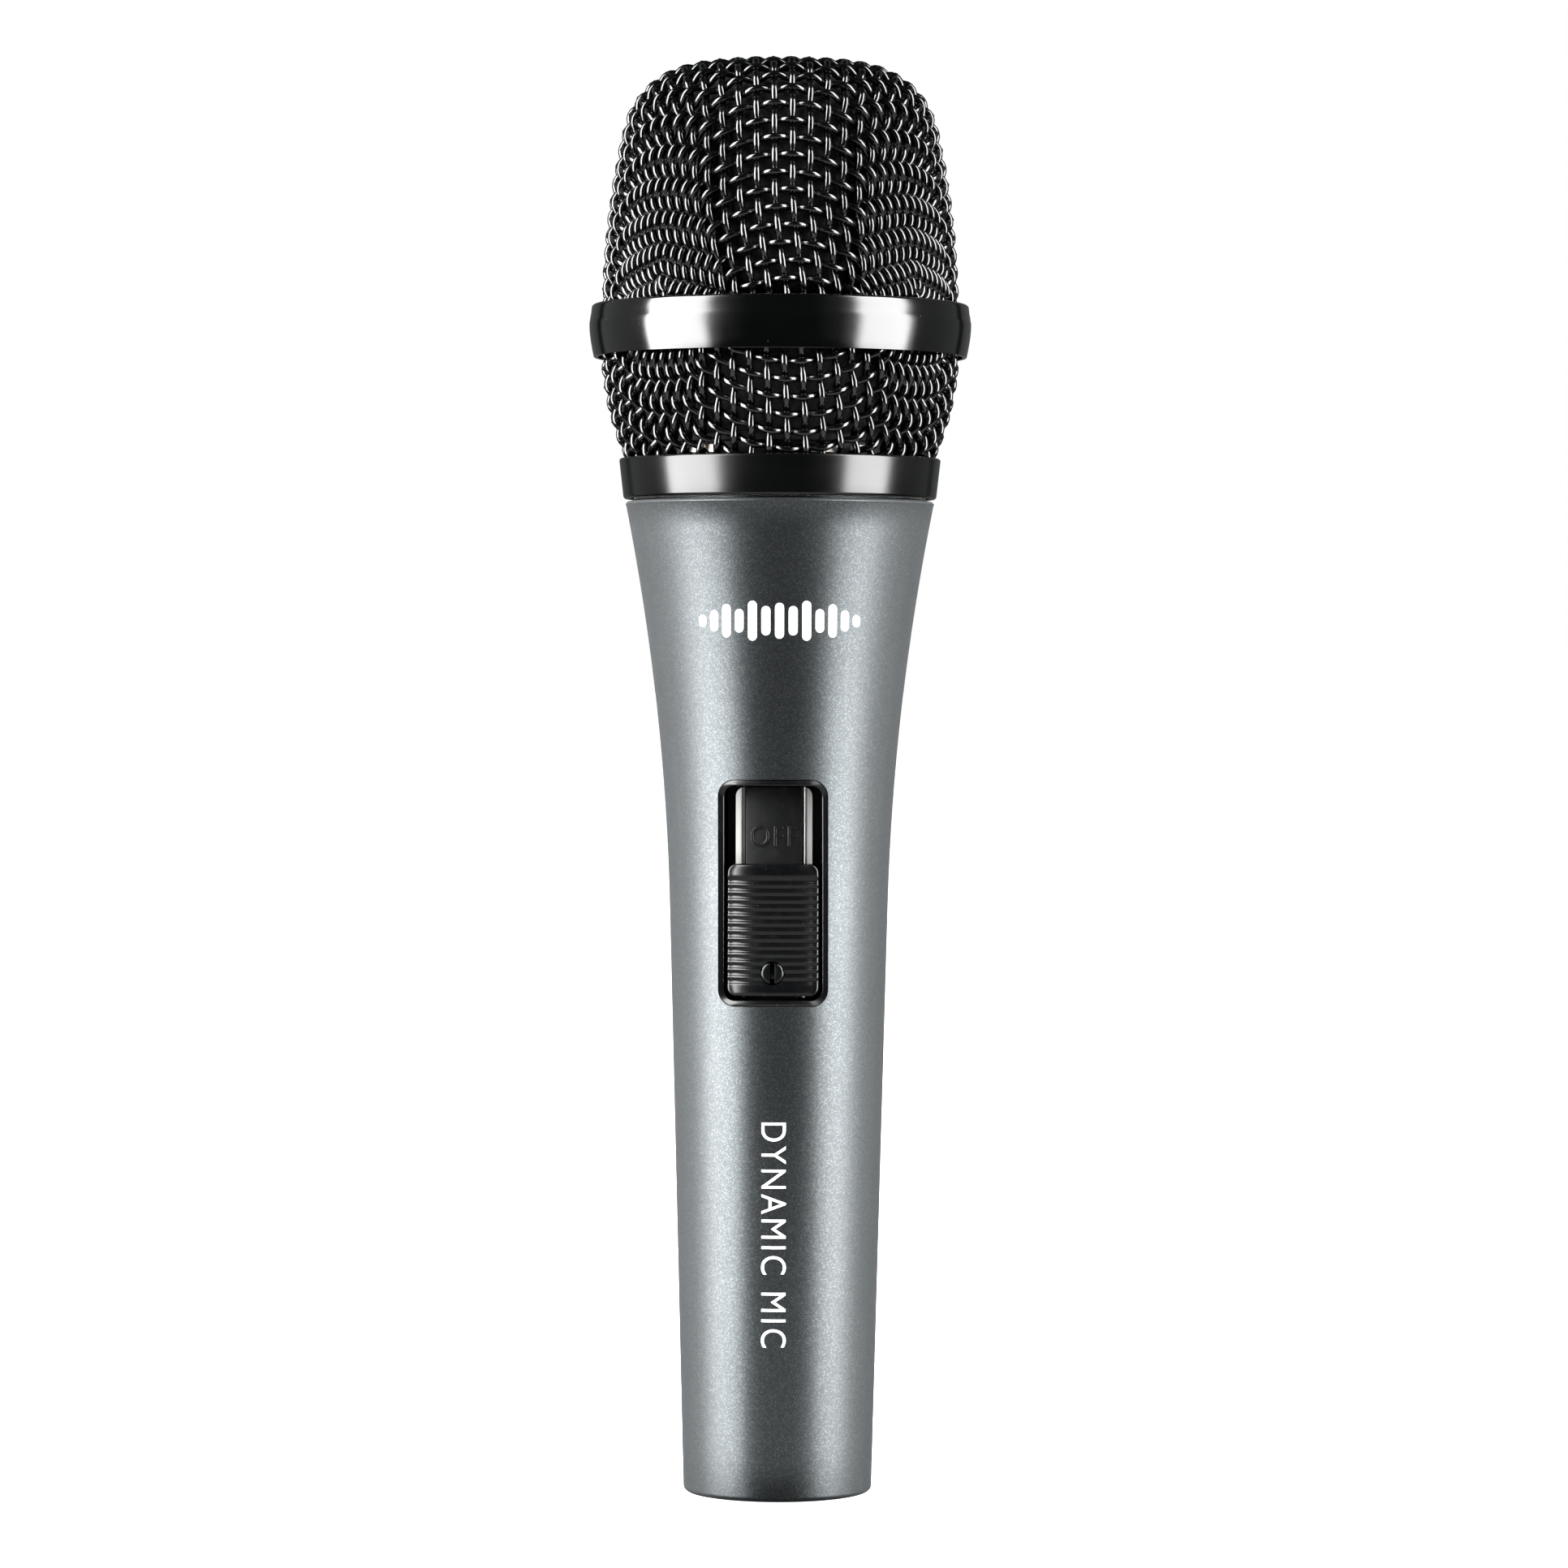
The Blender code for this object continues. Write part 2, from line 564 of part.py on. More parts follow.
def build_grille(finishes, head, washer):
    band = [
        (22.95, 142.7),
        (23.4, 142.7),
        (BAND_RADIUS, 146.6),
        (23.9, 147.9),
        (23.7, 148.7),
        (23.3, 149.15),
        (22.95, 149.3),
    ]
    turned("ring_band", band, finishes["gloss"], LARGE, parent=head)
    turned("joining_hoop", ring_outline(19.8, 20.4, 143.0, 149.0), finishes["steel"], LARGE, parent=head)
    dome = dome_outline(0.0, 146.5) + list(reversed(dome_outline(CLOTH, 146.5)))
    turned("upper_mesh", dome, finishes["wire"], LARGE, parent=head)
    heights = (129.2, 131.5, 134.5, 138.5, 146.2)
    bowl = [(bowl_radius(height), height) for height in heights]
    bowl += [(bowl_radius(height, CLOTH), height) for height in reversed(heights)]
    turned("lower_mesh", bowl, finishes["wire"], LARGE, parent=head)
    collar = [
        (17.3, 125.6),
        (18.7, 125.6),
        (18.7, 124.9),
        (19.35, 124.9),
        (19.65, 125.25),
        (20.2, 129.75),
        (19.95, COLLAR_TOP),
        (19.75, COLLAR_TOP),
        (19.75, 128.9),
        (17.3, 128.9),
    ]
    turned("collar", collar, finishes["gloss"], LARGE, parent=head)
    insert_outline = ring_outline(THREAD_BORE, 17.0, 125.6, 131.8, 0.2)
    turned("thread_insert", insert_outline, finishes["brass"], LARGE, parent=head)
    liner = dome_outline(CLOTH + 0.4, 149.7) + list(reversed(dome_outline(CLOTH + 0.4 + FOAM, 149.7)))
    turned("foam_cap", liner, finishes["foam"], MEDIUM, parent=head)
    foam_band = [(16.6, 132.6), (17.8, 132.6), (18.8, 135.2), (19.3, 139.0), (19.3, 149.3), (16.6, 149.3)]
    turned("foam_band", foam_band, finishes["foam"], MEDIUM, parent=head)
    turned("collar_washer", ring_outline(16.3, 18.4, 124.9, 125.3), finishes["nylon"], LARGE, parent=washer)


def main():
    clear_scene()
    handle_metal = finish("handle_paint", (0.11, 0.13, 0.14), 0.38, 0.6)
    black = finish("black_plastic", (0.012, 0.012, 0.013), 0.4)
    gloss = finish("gloss_black", (0.01, 0.01, 0.011), 0.16)
    steel = finish("dark_steel", (0.25, 0.25, 0.26), 0.35, 1.0)
    bright = finish("bright_nickel", (0.75, 0.74, 0.72), 0.22, 1.0)
    brass = finish("brass", (0.72, 0.5, 0.25), 0.35, 1.0)
    board = finish("circuit_board", (0.02, 0.16, 0.06), 0.45)
    foam = finish("foam", (0.02, 0.02, 0.022), 0.95)
    rubber = finish("rubber", (0.02, 0.02, 0.02), 0.75)
    bronze = finish("bronze", (0.6, 0.42, 0.22), 0.3, 1.0)
    capsule_finishes = {
        "plastic": black,
        "steel": steel,
        "bright": bright,
        "brass": brass,
        "board": board,
        "cloth": foam,
        "felt": finish("felt", (0.35, 0.33, 0.3), 0.95),
        "film": finish("film", (0.6, 0.62, 0.6), 0.2),
        "copper": finish("copper", (0.72, 0.35, 0.2), 0.35, 1.0),
    }
    grille_finishes = {
        "gloss": gloss,
        "steel": steel,
        "brass": brass,
        "foam": foam,
        "wire": finish("black_wire", (0.02, 0.02, 0.02), 0.2, 0.6),
        "nylon": finish("nylon", (0.8, 0.8, 0.76), 0.5),
    }
    pivots = {
        "slider": pivot("slider_pivot", (0, 0, 71.2)),
        "lock": pivot("lock_pivot", (0, -12.0, LOCK_SCREW_HEIGHT)),
        "washer": pivot("washer_pivot", (0, 0, 125.1)),
        "head": pivot("head_pivot", (0, 0, 125.1)),
        "coil": pivot("coil_pivot", (0, 0, 153.75)),
    }
    build_handle(handle_metal)
    build_connector(black, bright, steel, bronze)
    build_bezel(black)
    build_bracket(bright, black)
    build_switch_board(board, brass, steel)
    build_slider(black, black, bronze, steel, pivots)
    build_capsule(capsule_finishes, pivots["coil"])
    build_capsule_mount(rubber, foam)
    red = finish("red_wire", (0.5, 0.03, 0.03), 0.5)
    white = finish("white_wire", (0.7, 0.7, 0.68), 0.5)
    build_wires(red, black, white, steel)
    build_grille(grille_finishes, pivots["head"], pivots["washer"])


main()
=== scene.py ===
"""The looks of a handheld dynamic microphone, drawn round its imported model.

Every size here is in millimetres until a piece is finished, and heights run from the tail face
up the microphone's axis. The switch faces -Y.
"""

import math

import bmesh
import bpy
import numpy as np
from mathutils import Matrix, Vector, noise


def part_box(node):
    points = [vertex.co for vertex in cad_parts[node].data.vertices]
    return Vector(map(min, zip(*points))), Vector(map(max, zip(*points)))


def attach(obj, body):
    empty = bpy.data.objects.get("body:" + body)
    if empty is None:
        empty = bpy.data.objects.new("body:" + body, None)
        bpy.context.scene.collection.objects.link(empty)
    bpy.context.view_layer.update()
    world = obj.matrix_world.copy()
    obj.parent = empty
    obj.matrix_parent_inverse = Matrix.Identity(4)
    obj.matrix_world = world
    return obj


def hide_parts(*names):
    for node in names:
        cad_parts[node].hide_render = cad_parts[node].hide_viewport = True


bl_info = {
    "name": "Dynamic Microphone",
    "version": (1, 0, 0),
    "blender": (4, 5, 0),
    "location": "3D View > Sidebar > Microphone",
    "description": "Builds the finished surfaces of a handheld microphone",
    "category": "Add Mesh",
}

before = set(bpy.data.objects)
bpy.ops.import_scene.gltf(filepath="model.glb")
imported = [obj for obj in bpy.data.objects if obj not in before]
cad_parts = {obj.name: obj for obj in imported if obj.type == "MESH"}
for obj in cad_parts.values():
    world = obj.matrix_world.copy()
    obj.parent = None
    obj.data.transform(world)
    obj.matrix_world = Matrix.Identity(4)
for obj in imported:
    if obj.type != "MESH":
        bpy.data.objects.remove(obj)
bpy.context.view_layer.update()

MM = 0.001


def node_low(name):
    """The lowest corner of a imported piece, in millimetres."""
    return [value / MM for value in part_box(name)[0]]


def node_high(name):
    """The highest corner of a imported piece, in millimetres."""
    return [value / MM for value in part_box(name)[1]]


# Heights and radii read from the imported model
TOTAL_LENGTH = node_high("upper_mesh")[2]
BAND_LOW = node_low("ring_band")[2]
BAND_HIGH = node_high("ring_band")[2]
BAND_RADIUS = node_high("ring_band")[0]
COLLAR_LOW = node_low("collar")[2]
COLLAR_HIGH = node_high("collar")[2]
CLOTH_LOW = node_low("lower_mesh")[2]
SLIDER_LOW = node_low("slider_cap")[2]
SLIDER_HIGH = node_high("slider_cap")[2]
SLIDER_HALF = node_high("slider_cap")[0]
LOCK_HEIGHT = (node_low("lock_screw")[2] + node_high("lock_screw")[2]) / 2
SET_SCREW_HEIGHT = (node_low("xlr_set_screw")[2] + node_high("xlr_set_screw")[2]) / 2
INSERT_FACE = node_low("xlr_insert")[2]
INSERT_BACK = node_high("xlr_insert")[2]
PIN_HEIGHTS = (node_low("xlr_pin_1")[2], node_high("xlr_pin_1")[2])

# The handle's outer shape: a cone that flares on an arc
TAIL_RADIUS = 11.85
CONE_SLOPE = 0.0254
FLARE_START = 74.0
FLARE_RADIUS = 290.0
SHOULDER_HEIGHT = 124.6
WALL = 2.2
TAIL_ROUNDING = 0.65
SHOULDER_ROUNDING = 0.5
NECK_RADIUS = 15.9
NECK_BORE = 14.0
NECK_TOP = 131.0
NECK_FOOT = 111.0
THREADS = 6
THREAD_DEPTH = 0.4
SOCKET_RADIUS = 8.35
SOCKET_TOP = 27.6
SET_SCREW_BORE = 1.5
LATCH_RECESS = ((-2.2, 7.0, 3.0), (2.2, 9.3, 6.5))

# The two sheets of woven cloth, as arcs of the surface that the wires' crests touch. The side and
# the bowl are given by their widest radius, its height and the arc's radius, and the shoulder by
# its centre and radius.
SIDE_ARC = (22.5, 148.0, 105.0)
SHOULDER_ARC = (9.7, 169.17, 10.4)
CROWN_RADIUS = 120.0
BOWL_ARC = (22.6, 144.0, 34.0)

# How each sheet has slipped round the axis where it was pressed to shape: degrees at its top,
# degrees more at its foot, the heights between which it slips, and how suddenly it does
UPPER_SLIP = (0.0, 4.1, BAND_HIGH + 12.7, BAND_HIGH, 1.3)
LOWER_SLIP = (2.9, 2.5, BAND_LOW, CLOTH_LOW, 1.0)

# The switch; depths are places in Y, so the front is the lowest
WINDOW_WIDTH = 13.7
WINDOW_HEIGHT = 28.2
WINDOW_CENTRE = 75.8
WINDOW_CORNER = 2.1
SLIDER_FOOT = -8.9
SLIDER_HOLLOW = (5.0, -11.0)

# The printed marks: degrees round the handle from the switch, and height
MARK_PLACE = (3.4, 109.5)
WORDS_PLACE = (0.9, 33.4)


# ---- the values a user would change ------------------------------------------------------------


def length(name, description, default, low=0.0):
    return bpy.props.FloatProperty(
        name=name, description=description, default=default, min=low, unit="LENGTH", precision=5
    )


def shade(name, description, default):
    return bpy.props.FloatVectorProperty(
        name=name, description=description, default=default, size=3, min=0, max=1, subtype="COLOR"
    )


class MicrophoneSizes(bpy.types.PropertyGroup):
    wire: length("Wire", "Thickness of the woven wire", 0.85 * MM)
    pitch: length("Pitch", "Distance from one wire to the next in the flat cloth", 2.2 * MM)
    tightest: length("Tightest mesh", "Shortest diagonal a sheared mesh keeps", 1.3 * MM)
    cloth_turn: bpy.props.FloatProperty(
        name="Cloth turn",
        description="How far the grille's weave is turned from the switch",
        default=math.radians(4.4),
        subtype="ANGLE",
    )
    print_proud: length("Print", "Thickness of the printed marks", 0.02 * MM)
    rib_pitch: length("Rib pitch", "Distance from one rib of the slider to the next", 0.957 * MM)
    rib_depth: length("Rib depth", "Depth of the grooves between the ribs", 0.26 * MM)
    rib_count: bpy.props.IntProperty(name="Ribs", description="Ribs on the slider", default=14, min=1)


class MicrophoneColours(bpy.types.PropertyGroup):
    enamel: shade("Enamel", "Metallic enamel of the handle", (0.046, 0.0512, 0.0533))
    # the flake colour is also a painted sheen that pales the enamel where it is seen edge on
    flake_and_edge_sheen: shade("Flake", "Bright flakes in the enamel", (0.15, 0.158, 0.162))
    gloss: shade("Gloss", "Gloss black of the ring, the collar and the wire", (0.0007, 0.0008, 0.0008))
    moulded: shade("Moulded", "Black plastic of the switch", (0.002, 0.0021, 0.0023))
    nickel: shade("Nickel", "Bright metal behind the slider", (0.56, 0.56, 0.545))
    ink: shade("Ink", "Printed marks", (0.9, 0.91, 0.92))
    foam: shade("Foam", "Foam inside the grille", (0.0006, 0.0006, 0.0007))


# ---- finishes ----------------------------------------------------------------------------------


class Signal:
    """A shader socket that adds its own Math nodes when it is used in an expression."""

    def __init__(self, recipe, socket):
        self.recipe = recipe
        self.socket = socket

    def maths(self, operation, *values):
        made = self.recipe.node("Math", {"operation": operation}, dict(enumerate(values)))
        return made["Value"]

    def __add__(self, other):
        return self.maths("ADD", self, other)

    def __mul__(self, other):
        return self.maths("MULTIPLY", self, other)

    __radd__ = __add__
    __rmul__ = __mul__


class Made:
    """A node whose outputs are read by name or by number."""

    def __init__(self, recipe, made):
        self.recipe = recipe
        self.made = made

    def __getitem__(self, output):
        return Signal(self.recipe, self.made.outputs[output])


def set_stops(ramp, stops):
    """Puts grey stops on a ramp, each a place and a value."""
    while len(ramp.elements) < len(stops):
        ramp.elements.new(1.0)
    for element, (place, value) in zip(ramp.elements, stops):
        element.position = place
        element.color = (value, value, value, 1.0)


class Recipe:
    """The nodes of one finish."""

    def __init__(self, name, colour, roughness, metallic=0.0, **shader_values):
        self.material = bpy.data.materials.new(name)
        self.material.use_nodes = True
        self.tree = self.material.node_tree
        self.shader = self.tree.nodes["Principled BSDF"]
        self.place = self.node("TexCoord")["Object"]
        self.feed("Base Color", (*colour, 1.0))
        self.feed("Roughness", roughness)
        self.feed("Metallic", metallic)
        for socket, value in shader_values.items():
            self.feed(socket.replace("_", " "), value)

    def node(self, kind, settings=None, sockets=None):
        made = self.tree.nodes.new(f"ShaderNode{kind}")
        for key, value in (settings or {}).items():
            if key == "stops":
                set_stops(made.color_ramp, value)
            else:
                setattr(made, key, value)
        for key, value in (sockets or {}).items():
            self.join(made.inputs[key], value)
        return Made(self, made)

    def join(self, socket, value):
        if isinstance(value, Signal):
            self.tree.links.new(value.socket, socket)
        else:
            socket.default_value = value

    def feed(self, socket, value):
        self.join(self.shader.inputs[socket], value)

    def stretched(self, scale):
        return self.node("Mapping", None, {"Vector": self.place, "Scale": scale})["Vector"]

    def noise(self, scale, detail=2.0, roughness=0.5, vector=None):
        """A cloudy value from 0 to 1; scale counts features in a metre."""
        sockets = {"Vector": vector or self.place, "Scale": scale, "Detail": detail, "Roughness": roughness}
        return self.node("TexNoise", None, sockets)["Fac"]

    def cells(self, scale, output="Distance"):
        return self.node("TexVoronoi", None, {"Vector": self.place, "Scale": scale})[output]

    def ramp(self, value, *stops):
        return self.node("ValToRGB", {"stops": stops}, {"Fac": value})["Color"]

    def blend(self, factor, first, second):
        sockets = {0: factor, 6: (*first, 1.0), 7: (*second, 1.0)}
        return self.node("Mix", {"data_type": "RGBA"}, sockets)[2]

    def bump(self, height, distance, strength):
        """Relief whose full height is a distance in millimetres."""
        sockets = {"Height": height, "Distance": distance * MM, "Strength": strength}
        self.feed("Normal", self.node("Bump", None, sockets)["Normal"])


def toned(colour, share):
    return tuple(part * share for part in colour)


def enamel_finish(colours):
    """Metallic enamel: fine flakes in a dark coat, softer where it is seen edge on, with a painted sheen
    that makes it paler there.
    """
    recipe = Recipe("metallic_enamel", colours.enamel, 0.34, 0.9)
    flop = recipe.node("LayerWeight", None, {"Blend": 0.5})["Facing"]
    # painted sheen: the enamel's colour turns towards the flake colour where it is seen edge on
    edge_on_sheen = recipe.ramp(flop, (0.12, 0.0), (0.55, 1.0))
    flakes = recipe.ramp(recipe.cells(7500, "Color"), (0.5, 0.0), (1.0, 1.0))
    clouds = recipe.noise(55, 3.0)
    recipe.feed("Base Color", recipe.blend(flakes * 0.5 + edge_on_sheen * 0.5, colours.enamel, colours.flake_and_edge_sheen))
    recipe.feed("Roughness", 0.25 + clouds * 0.05 + recipe.noise(5200, 2.0) * 0.12 + flop * 0.42)
    peel = recipe.noise(900, 2.0) * 0.5 + recipe.noise(4200, 2.0) * 0.5
    recipe.bump(peel, 0.009, 0.5)
    return recipe.material


def gloss_finish(colours, name, roughness, peel, ior):
    """Hard gloss black with handling marks and a few specks of dust."""
    recipe = Recipe(name, colours.gloss, roughness, 0.0, IOR=ior)
    smudges = recipe.ramp(recipe.noise(120, 4.0, 0.6), (0.45, 0.0), (0.75, 1.0))
    streaks = recipe.noise(60, 3.0, 0.6, recipe.stretched((1.0, 1.0, 14.0)))
    dust = recipe.ramp(recipe.cells(420), (0.0, 1.0), (0.04, 0.0))
    recipe.feed("Roughness", roughness + smudges * 0.05 + streaks * 0.04 + dust * 0.3)
    recipe.feed("Base Color", recipe.blend(dust * 0.3, colours.gloss, (0.3, 0.3, 0.29)))
    recipe.bump(recipe.noise(700, 2.0), peel, 0.4)
    return recipe.material


def wire_finish(colours):
    """Gloss black over drawn wire, a little thinner where the wires rub."""
    recipe = Recipe("enamelled_wire", colours.gloss, 0.14, 0.0, IOR=1.62)
    worn = recipe.ramp(recipe.noise(900, 3.0), (0.55, 0.0), (0.85, 1.0))
    recipe.feed("Base Color", recipe.blend(worn * 0.2, colours.gloss, (0.02, 0.019, 0.018)))
    recipe.feed("Roughness", 0.1 + recipe.noise(2500, 2.0) * 0.1 + worn * 0.05)
    recipe.bump(recipe.noise(3800, 2.0), 0.008, 0.3)
    return recipe.material


def moulded_finish(colours, name, gloss, ior=1.5):
    """Moulded plastic with a fine spark texture, scuffs and pale dust."""
    recipe = Recipe(name, colours.moulded, gloss, 0.0, IOR=ior)
    scuffs = recipe.ramp(recipe.noise(700, 5.0, 0.7), (0.5, 0.0), (0.85, 1.0))
    dust = recipe.ramp(recipe.cells(900), (0.0, 1.0), (0.05, 0.0))
    recipe.feed("Roughness", gloss + scuffs * 0.07 + dust * 0.3)
    recipe.feed("Base Color", recipe.blend(dust * 0.5 + scuffs * 0.01, colours.moulded, (0.3, 0.31, 0.31)))
    recipe.bump(recipe.noise(6000, 3.0) + recipe.cells(4200) * 0.4, 0.004, 0.4)
    return recipe.material


ALONG_AXIS = (1.0, 1.0, 0.04)
ROUND_AXIS = (1.0, 1.0, 20.0)


def brushed_finish(name, colour, roughness, along=ALONG_AXIS, scale=9000):
    """Metal with fine drawn lines and slight tarnish."""
    recipe = Recipe(name, colour, roughness, 1.0)
    lines = recipe.noise(scale, 2.0, 0.6, recipe.stretched(along))
    tarnish = recipe.noise(350, 4.0, 0.6)
    recipe.feed("Roughness", roughness - 0.06 + lines * 0.12 + tarnish * 0.05)
    recipe.feed("Base Color", recipe.blend(tarnish * 0.5, colour, toned(colour, 0.72)))
    recipe.bump(lines, 0.008, 0.4)
    return recipe.material


def grained_finish(name, colour, roughness, scale=1800, depth=0.02):
    """A plain surface with a fine grain and slow changes of tone."""
    recipe = Recipe(name, colour, roughness)
    tone = recipe.noise(240, 3.0)
    grain = recipe.noise(scale, 3.0, 0.6)
    recipe.feed("Base Color", recipe.blend(tone * 0.5 + grain * 0.2, colour, toned(colour, 0.68)))
    recipe.feed("Roughness", roughness - 0.06 + grain * 0.12)
    recipe.bump(grain, depth, 0.5)
    return recipe.material


def foam_finish(colours):
    """Open cells, with painted shade that makes them darkest in their middles."""
    recipe = Recipe("open_cell_foam", colours.foam, 0.95)
    walls_and_pore_shade = recipe.cells(1500)
    # painted shade: the foam darkens towards the middle of each cell, where the pores lie in shade
    recipe.feed("Base Color", recipe.blend(walls_and_pore_shade, toned(colours.foam, 0.3), toned(colours.foam, 1.8)))
    recipe.feed("Roughness", 0.9 + walls_and_pore_shade * 0.1)
    recipe.bump(walls_and_pore_shade + recipe.noise(3000, 2.0) * 0.4, 0.25, 0.8)
    return recipe.material


def ink_finish(colours):
    """Screen-printed ink with a slightly uneven film."""
    recipe = Recipe("printed_ink", colours.ink, 0.5)
    film = recipe.noise(2600, 3.0)
    recipe.feed("Base Color", recipe.blend(film * 0.4, colours.ink, toned(colours.ink, 0.86)))
    recipe.feed("Roughness", 0.42 + film * 0.16)
    recipe.bump(film, 0.004, 0.5)
    return recipe.material


# ---- making pieces -----------------------------------------------------------------------------


def link(obj):
    bpy.context.scene.collection.objects.link(obj)
    return obj


def mesh_object(name, bm, crease=30.0):
    """An object from a bmesh in millimetres, at the origin."""
    bmesh.ops.transform(bm, matrix=Matrix.Diagonal((MM, MM, MM, 1)), verts=bm.verts)
    mesh = bpy.data.meshes.new(name)
    bm.to_mesh(mesh)
    bm.free()
    mesh.shade_smooth()
    mesh.set_sharp_from_angle(angle=math.radians(crease))
    return link(bpy.data.objects.new(name, mesh))


def belong(obj, body, finish, replaced=()):
    """Gives a piece its finish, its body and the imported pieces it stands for."""
    obj.data.materials.clear()
    obj.data.materials.append(finish)
    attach(obj, body)
    if replaced:
        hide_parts(*replaced)
    return obj


def bake_modifiers(obj, crease=30.0):
    """Replaces an object's mesh with what its modifiers make of it."""
    shown = obj.evaluated_get(bpy.context.evaluated_depsgraph_get())
    mesh = bpy.data.meshes.new_from_object(shown)
    old = obj.data
    obj.modifiers.clear()
    obj.data = mesh
    bpy.data.meshes.remove(old)
    mesh.shade_smooth()
    mesh.set_sharp_from_angle(angle=math.radians(crease))


def cut(obj, bm, operation="DIFFERENCE", crease=30.0):
    """An exact Boolean with a shape that is thrown away afterwards."""
    tool = mesh_object("tool", bm)
    modifier = obj.modifiers.new("Cut", "BOOLEAN")
    modifier.operation = operation
    modifier.solver = "EXACT"
    modifier.object = tool
    bake_modifiers(obj, crease)
    bpy.data.objects.remove(tool)


def round_edges(obj, width):
    """Rounds every edge sharper than 40 degrees."""
    modifier = obj.modifiers.new("Round", "BEVEL")
    modifier.width = width * MM
    modifier.segments = 2
    modifier.limit_method = "ANGLE"
    modifier.angle_limit = math.radians(40)
    bake_modifiers(obj)


def turned_shape(outline, sides, matrix=None):
    """An outline of radius and height, spun round the axis."""
    bm = bmesh.new()
    points = [bm.verts.new((radius, 0.0, height)) for radius, height in outline]
    pairs = list(zip(points, points[1:]))
    if outline[0][0] or outline[-1][0]:
        pairs.append((points[-1], points[0]))
    edges = [bm.edges.new(pair) for pair in pairs]
    bmesh.ops.spin(
        bm, geom=points + edges, cent=(0, 0, 0), axis=(0, 0, 1), angle=math.tau, steps=sides, use_merge=True
    )
    bmesh.ops.remove_doubles(bm, verts=bm.verts, dist=1e-5)
    bmesh.ops.recalc_face_normals(bm, faces=bm.faces)
    if matrix:
        bmesh.ops.transform(bm, matrix=matrix, verts=bm.verts)
    return bm


def turned(name, outline, sides=160, matrix=None, crease=30.0):
    return mesh_object(name, turned_shape(outline, sides, matrix), crease)


def arc(centre, radius, start, end, steps):
    """Points on an arc, with angles in degrees from the outward direction."""
    angles = [math.radians(start + (end - start) * step / steps) for step in range(steps + 1)]
    return [(centre[0] + radius * math.cos(a), centre[1] + radius * math.sin(a)) for a in angles]


def rounded_rectangle(width, height, corner, steps=8):
    """Points round a rectangle with round corners, anticlockwise from the right side's top."""
    points = []
    for quarter, (sx, sz) in enumerate(((1, 1), (-1, 1), (-1, -1), (1, -1))):
        centre = (sx * (width / 2 - corner), sz * (height / 2 - corner))
        points += arc(centre, corner, 90 * quarter, 90 * (quarter + 1), steps)
    return points


def drawn_out(bm, reach):
    """Gives flat faces a thickness, along a vector."""
    grown = bmesh.ops.extrude_face_region(bm, geom=bm.faces[:])
    moved = [item for item in grown["geom"] if isinstance(item, bmesh.types.BMVert)]
    bmesh.ops.translate(bm, vec=reach, verts=moved)
    bmesh.ops.recalc_face_normals(bm, faces=bm.faces)
    return bm


def plate_shape(outline, front, back):
    """A flat plate: an outline in X and Z, between two depths in Y."""
    bm = bmesh.new()
    bm.faces.new([bm.verts.new((x, front, z)) for x, z in outline])
    return drawn_out(bm, (0, back - front, 0))


def bar_shape(section, low, high):
    """A section in X and Y, drawn out along Z."""
    bm = bmesh.new()
    bm.faces.new([bm.verts.new((x, y, low)) for x, y in section])
    return drawn_out(bm, (0, 0, high - low))


def closed_loop(bm, points):
    """The edges of a ring through points."""
    ring = [bm.verts.new(point) for point in points]
    return [bm.edges.new(pair) for pair in zip(ring, ring[1:] + ring[:1])]


def join_rings(bm, loops):
    """Joins each ring of edges to the next with faces."""
    for here, there in zip(loops, loops[1:]):
        bmesh.ops.bridge_loops(bm, edges=here + there)


def box_shape(low, high):
    bm = bmesh.new()
    centre = [(a + b) / 2 for a, b in zip(low, high)]
    size = [b - a for a, b in zip(low, high)]
    bmesh.ops.create_cube(bm, size=1.0, matrix=Matrix.Translation(centre) @ Matrix.Diagonal((*size, 1)))
    return bm


def towards_front(height):
    """Turns a shape's axis to -Y, at a height on the handle's front."""
    return Matrix.Translation((0, 0, height)) @ Matrix.Rotation(math.radians(90), 4, "X")


def shifted(outline, rise):
    return [(x, z + rise) for x, z in outline]


# ---- handle ------------------------------------------------------------------------------------


def handle_radius(height):
    past = max(0.0, height - FLARE_START)
    return TAIL_RADIUS + CONE_SLOPE * height + past**2 / (2 * FLARE_RADIUS)


def handle_outline():
    """Radius and height round the handle's wall, up the outside and down the inside."""
    lip = arc((TAIL_RADIUS - TAIL_ROUNDING, TAIL_ROUNDING), TAIL_ROUNDING, -90, 0, 5)
    flare_top = SHOULDER_HEIGHT - SHOULDER_ROUNDING
    heights = [6.0, 28.0, 51.0, FLARE_START]
    steps = 16
    heights += [FLARE_START + (flare_top - FLARE_START) * step / steps for step in range(1, steps + 1)]
    side = [(handle_radius(height), height) for height in heights]
    rim_centre = (handle_radius(SHOULDER_HEIGHT) - SHOULDER_ROUNDING, flare_top)
    rim = arc(rim_centre, SHOULDER_ROUNDING, 15, 90, 4)
    root = NECK_RADIUS - THREAD_DEPTH
    neck = [(NECK_RADIUS, SHOULDER_HEIGHT)]
    for turn in range(THREADS):
        low = SHOULDER_HEIGHT + 0.35 + turn
        neck += [(NECK_RADIUS, low), (root, low + 0.35), (root, low + 0.5), (NECK_RADIUS, low + 0.85)]
    neck += [(root, NECK_TOP), (NECK_BORE, NECK_TOP), (NECK_BORE, NECK_FOOT)]
    cavity = [(handle_radius(height) - WALL - 0.5, height) for height in (102.0, 88.0)]
    cavity += [(handle_radius(height) - WALL, height) for height in (FLARE_START, SOCKET_TOP + 0.6)]
    socket = [(SOCKET_RADIUS, SOCKET_TOP), (SOCKET_RADIUS, 0.6), (SOCKET_RADIUS + 0.6, 0.0)]
    return lip + side + rim + neck + cavity + socket


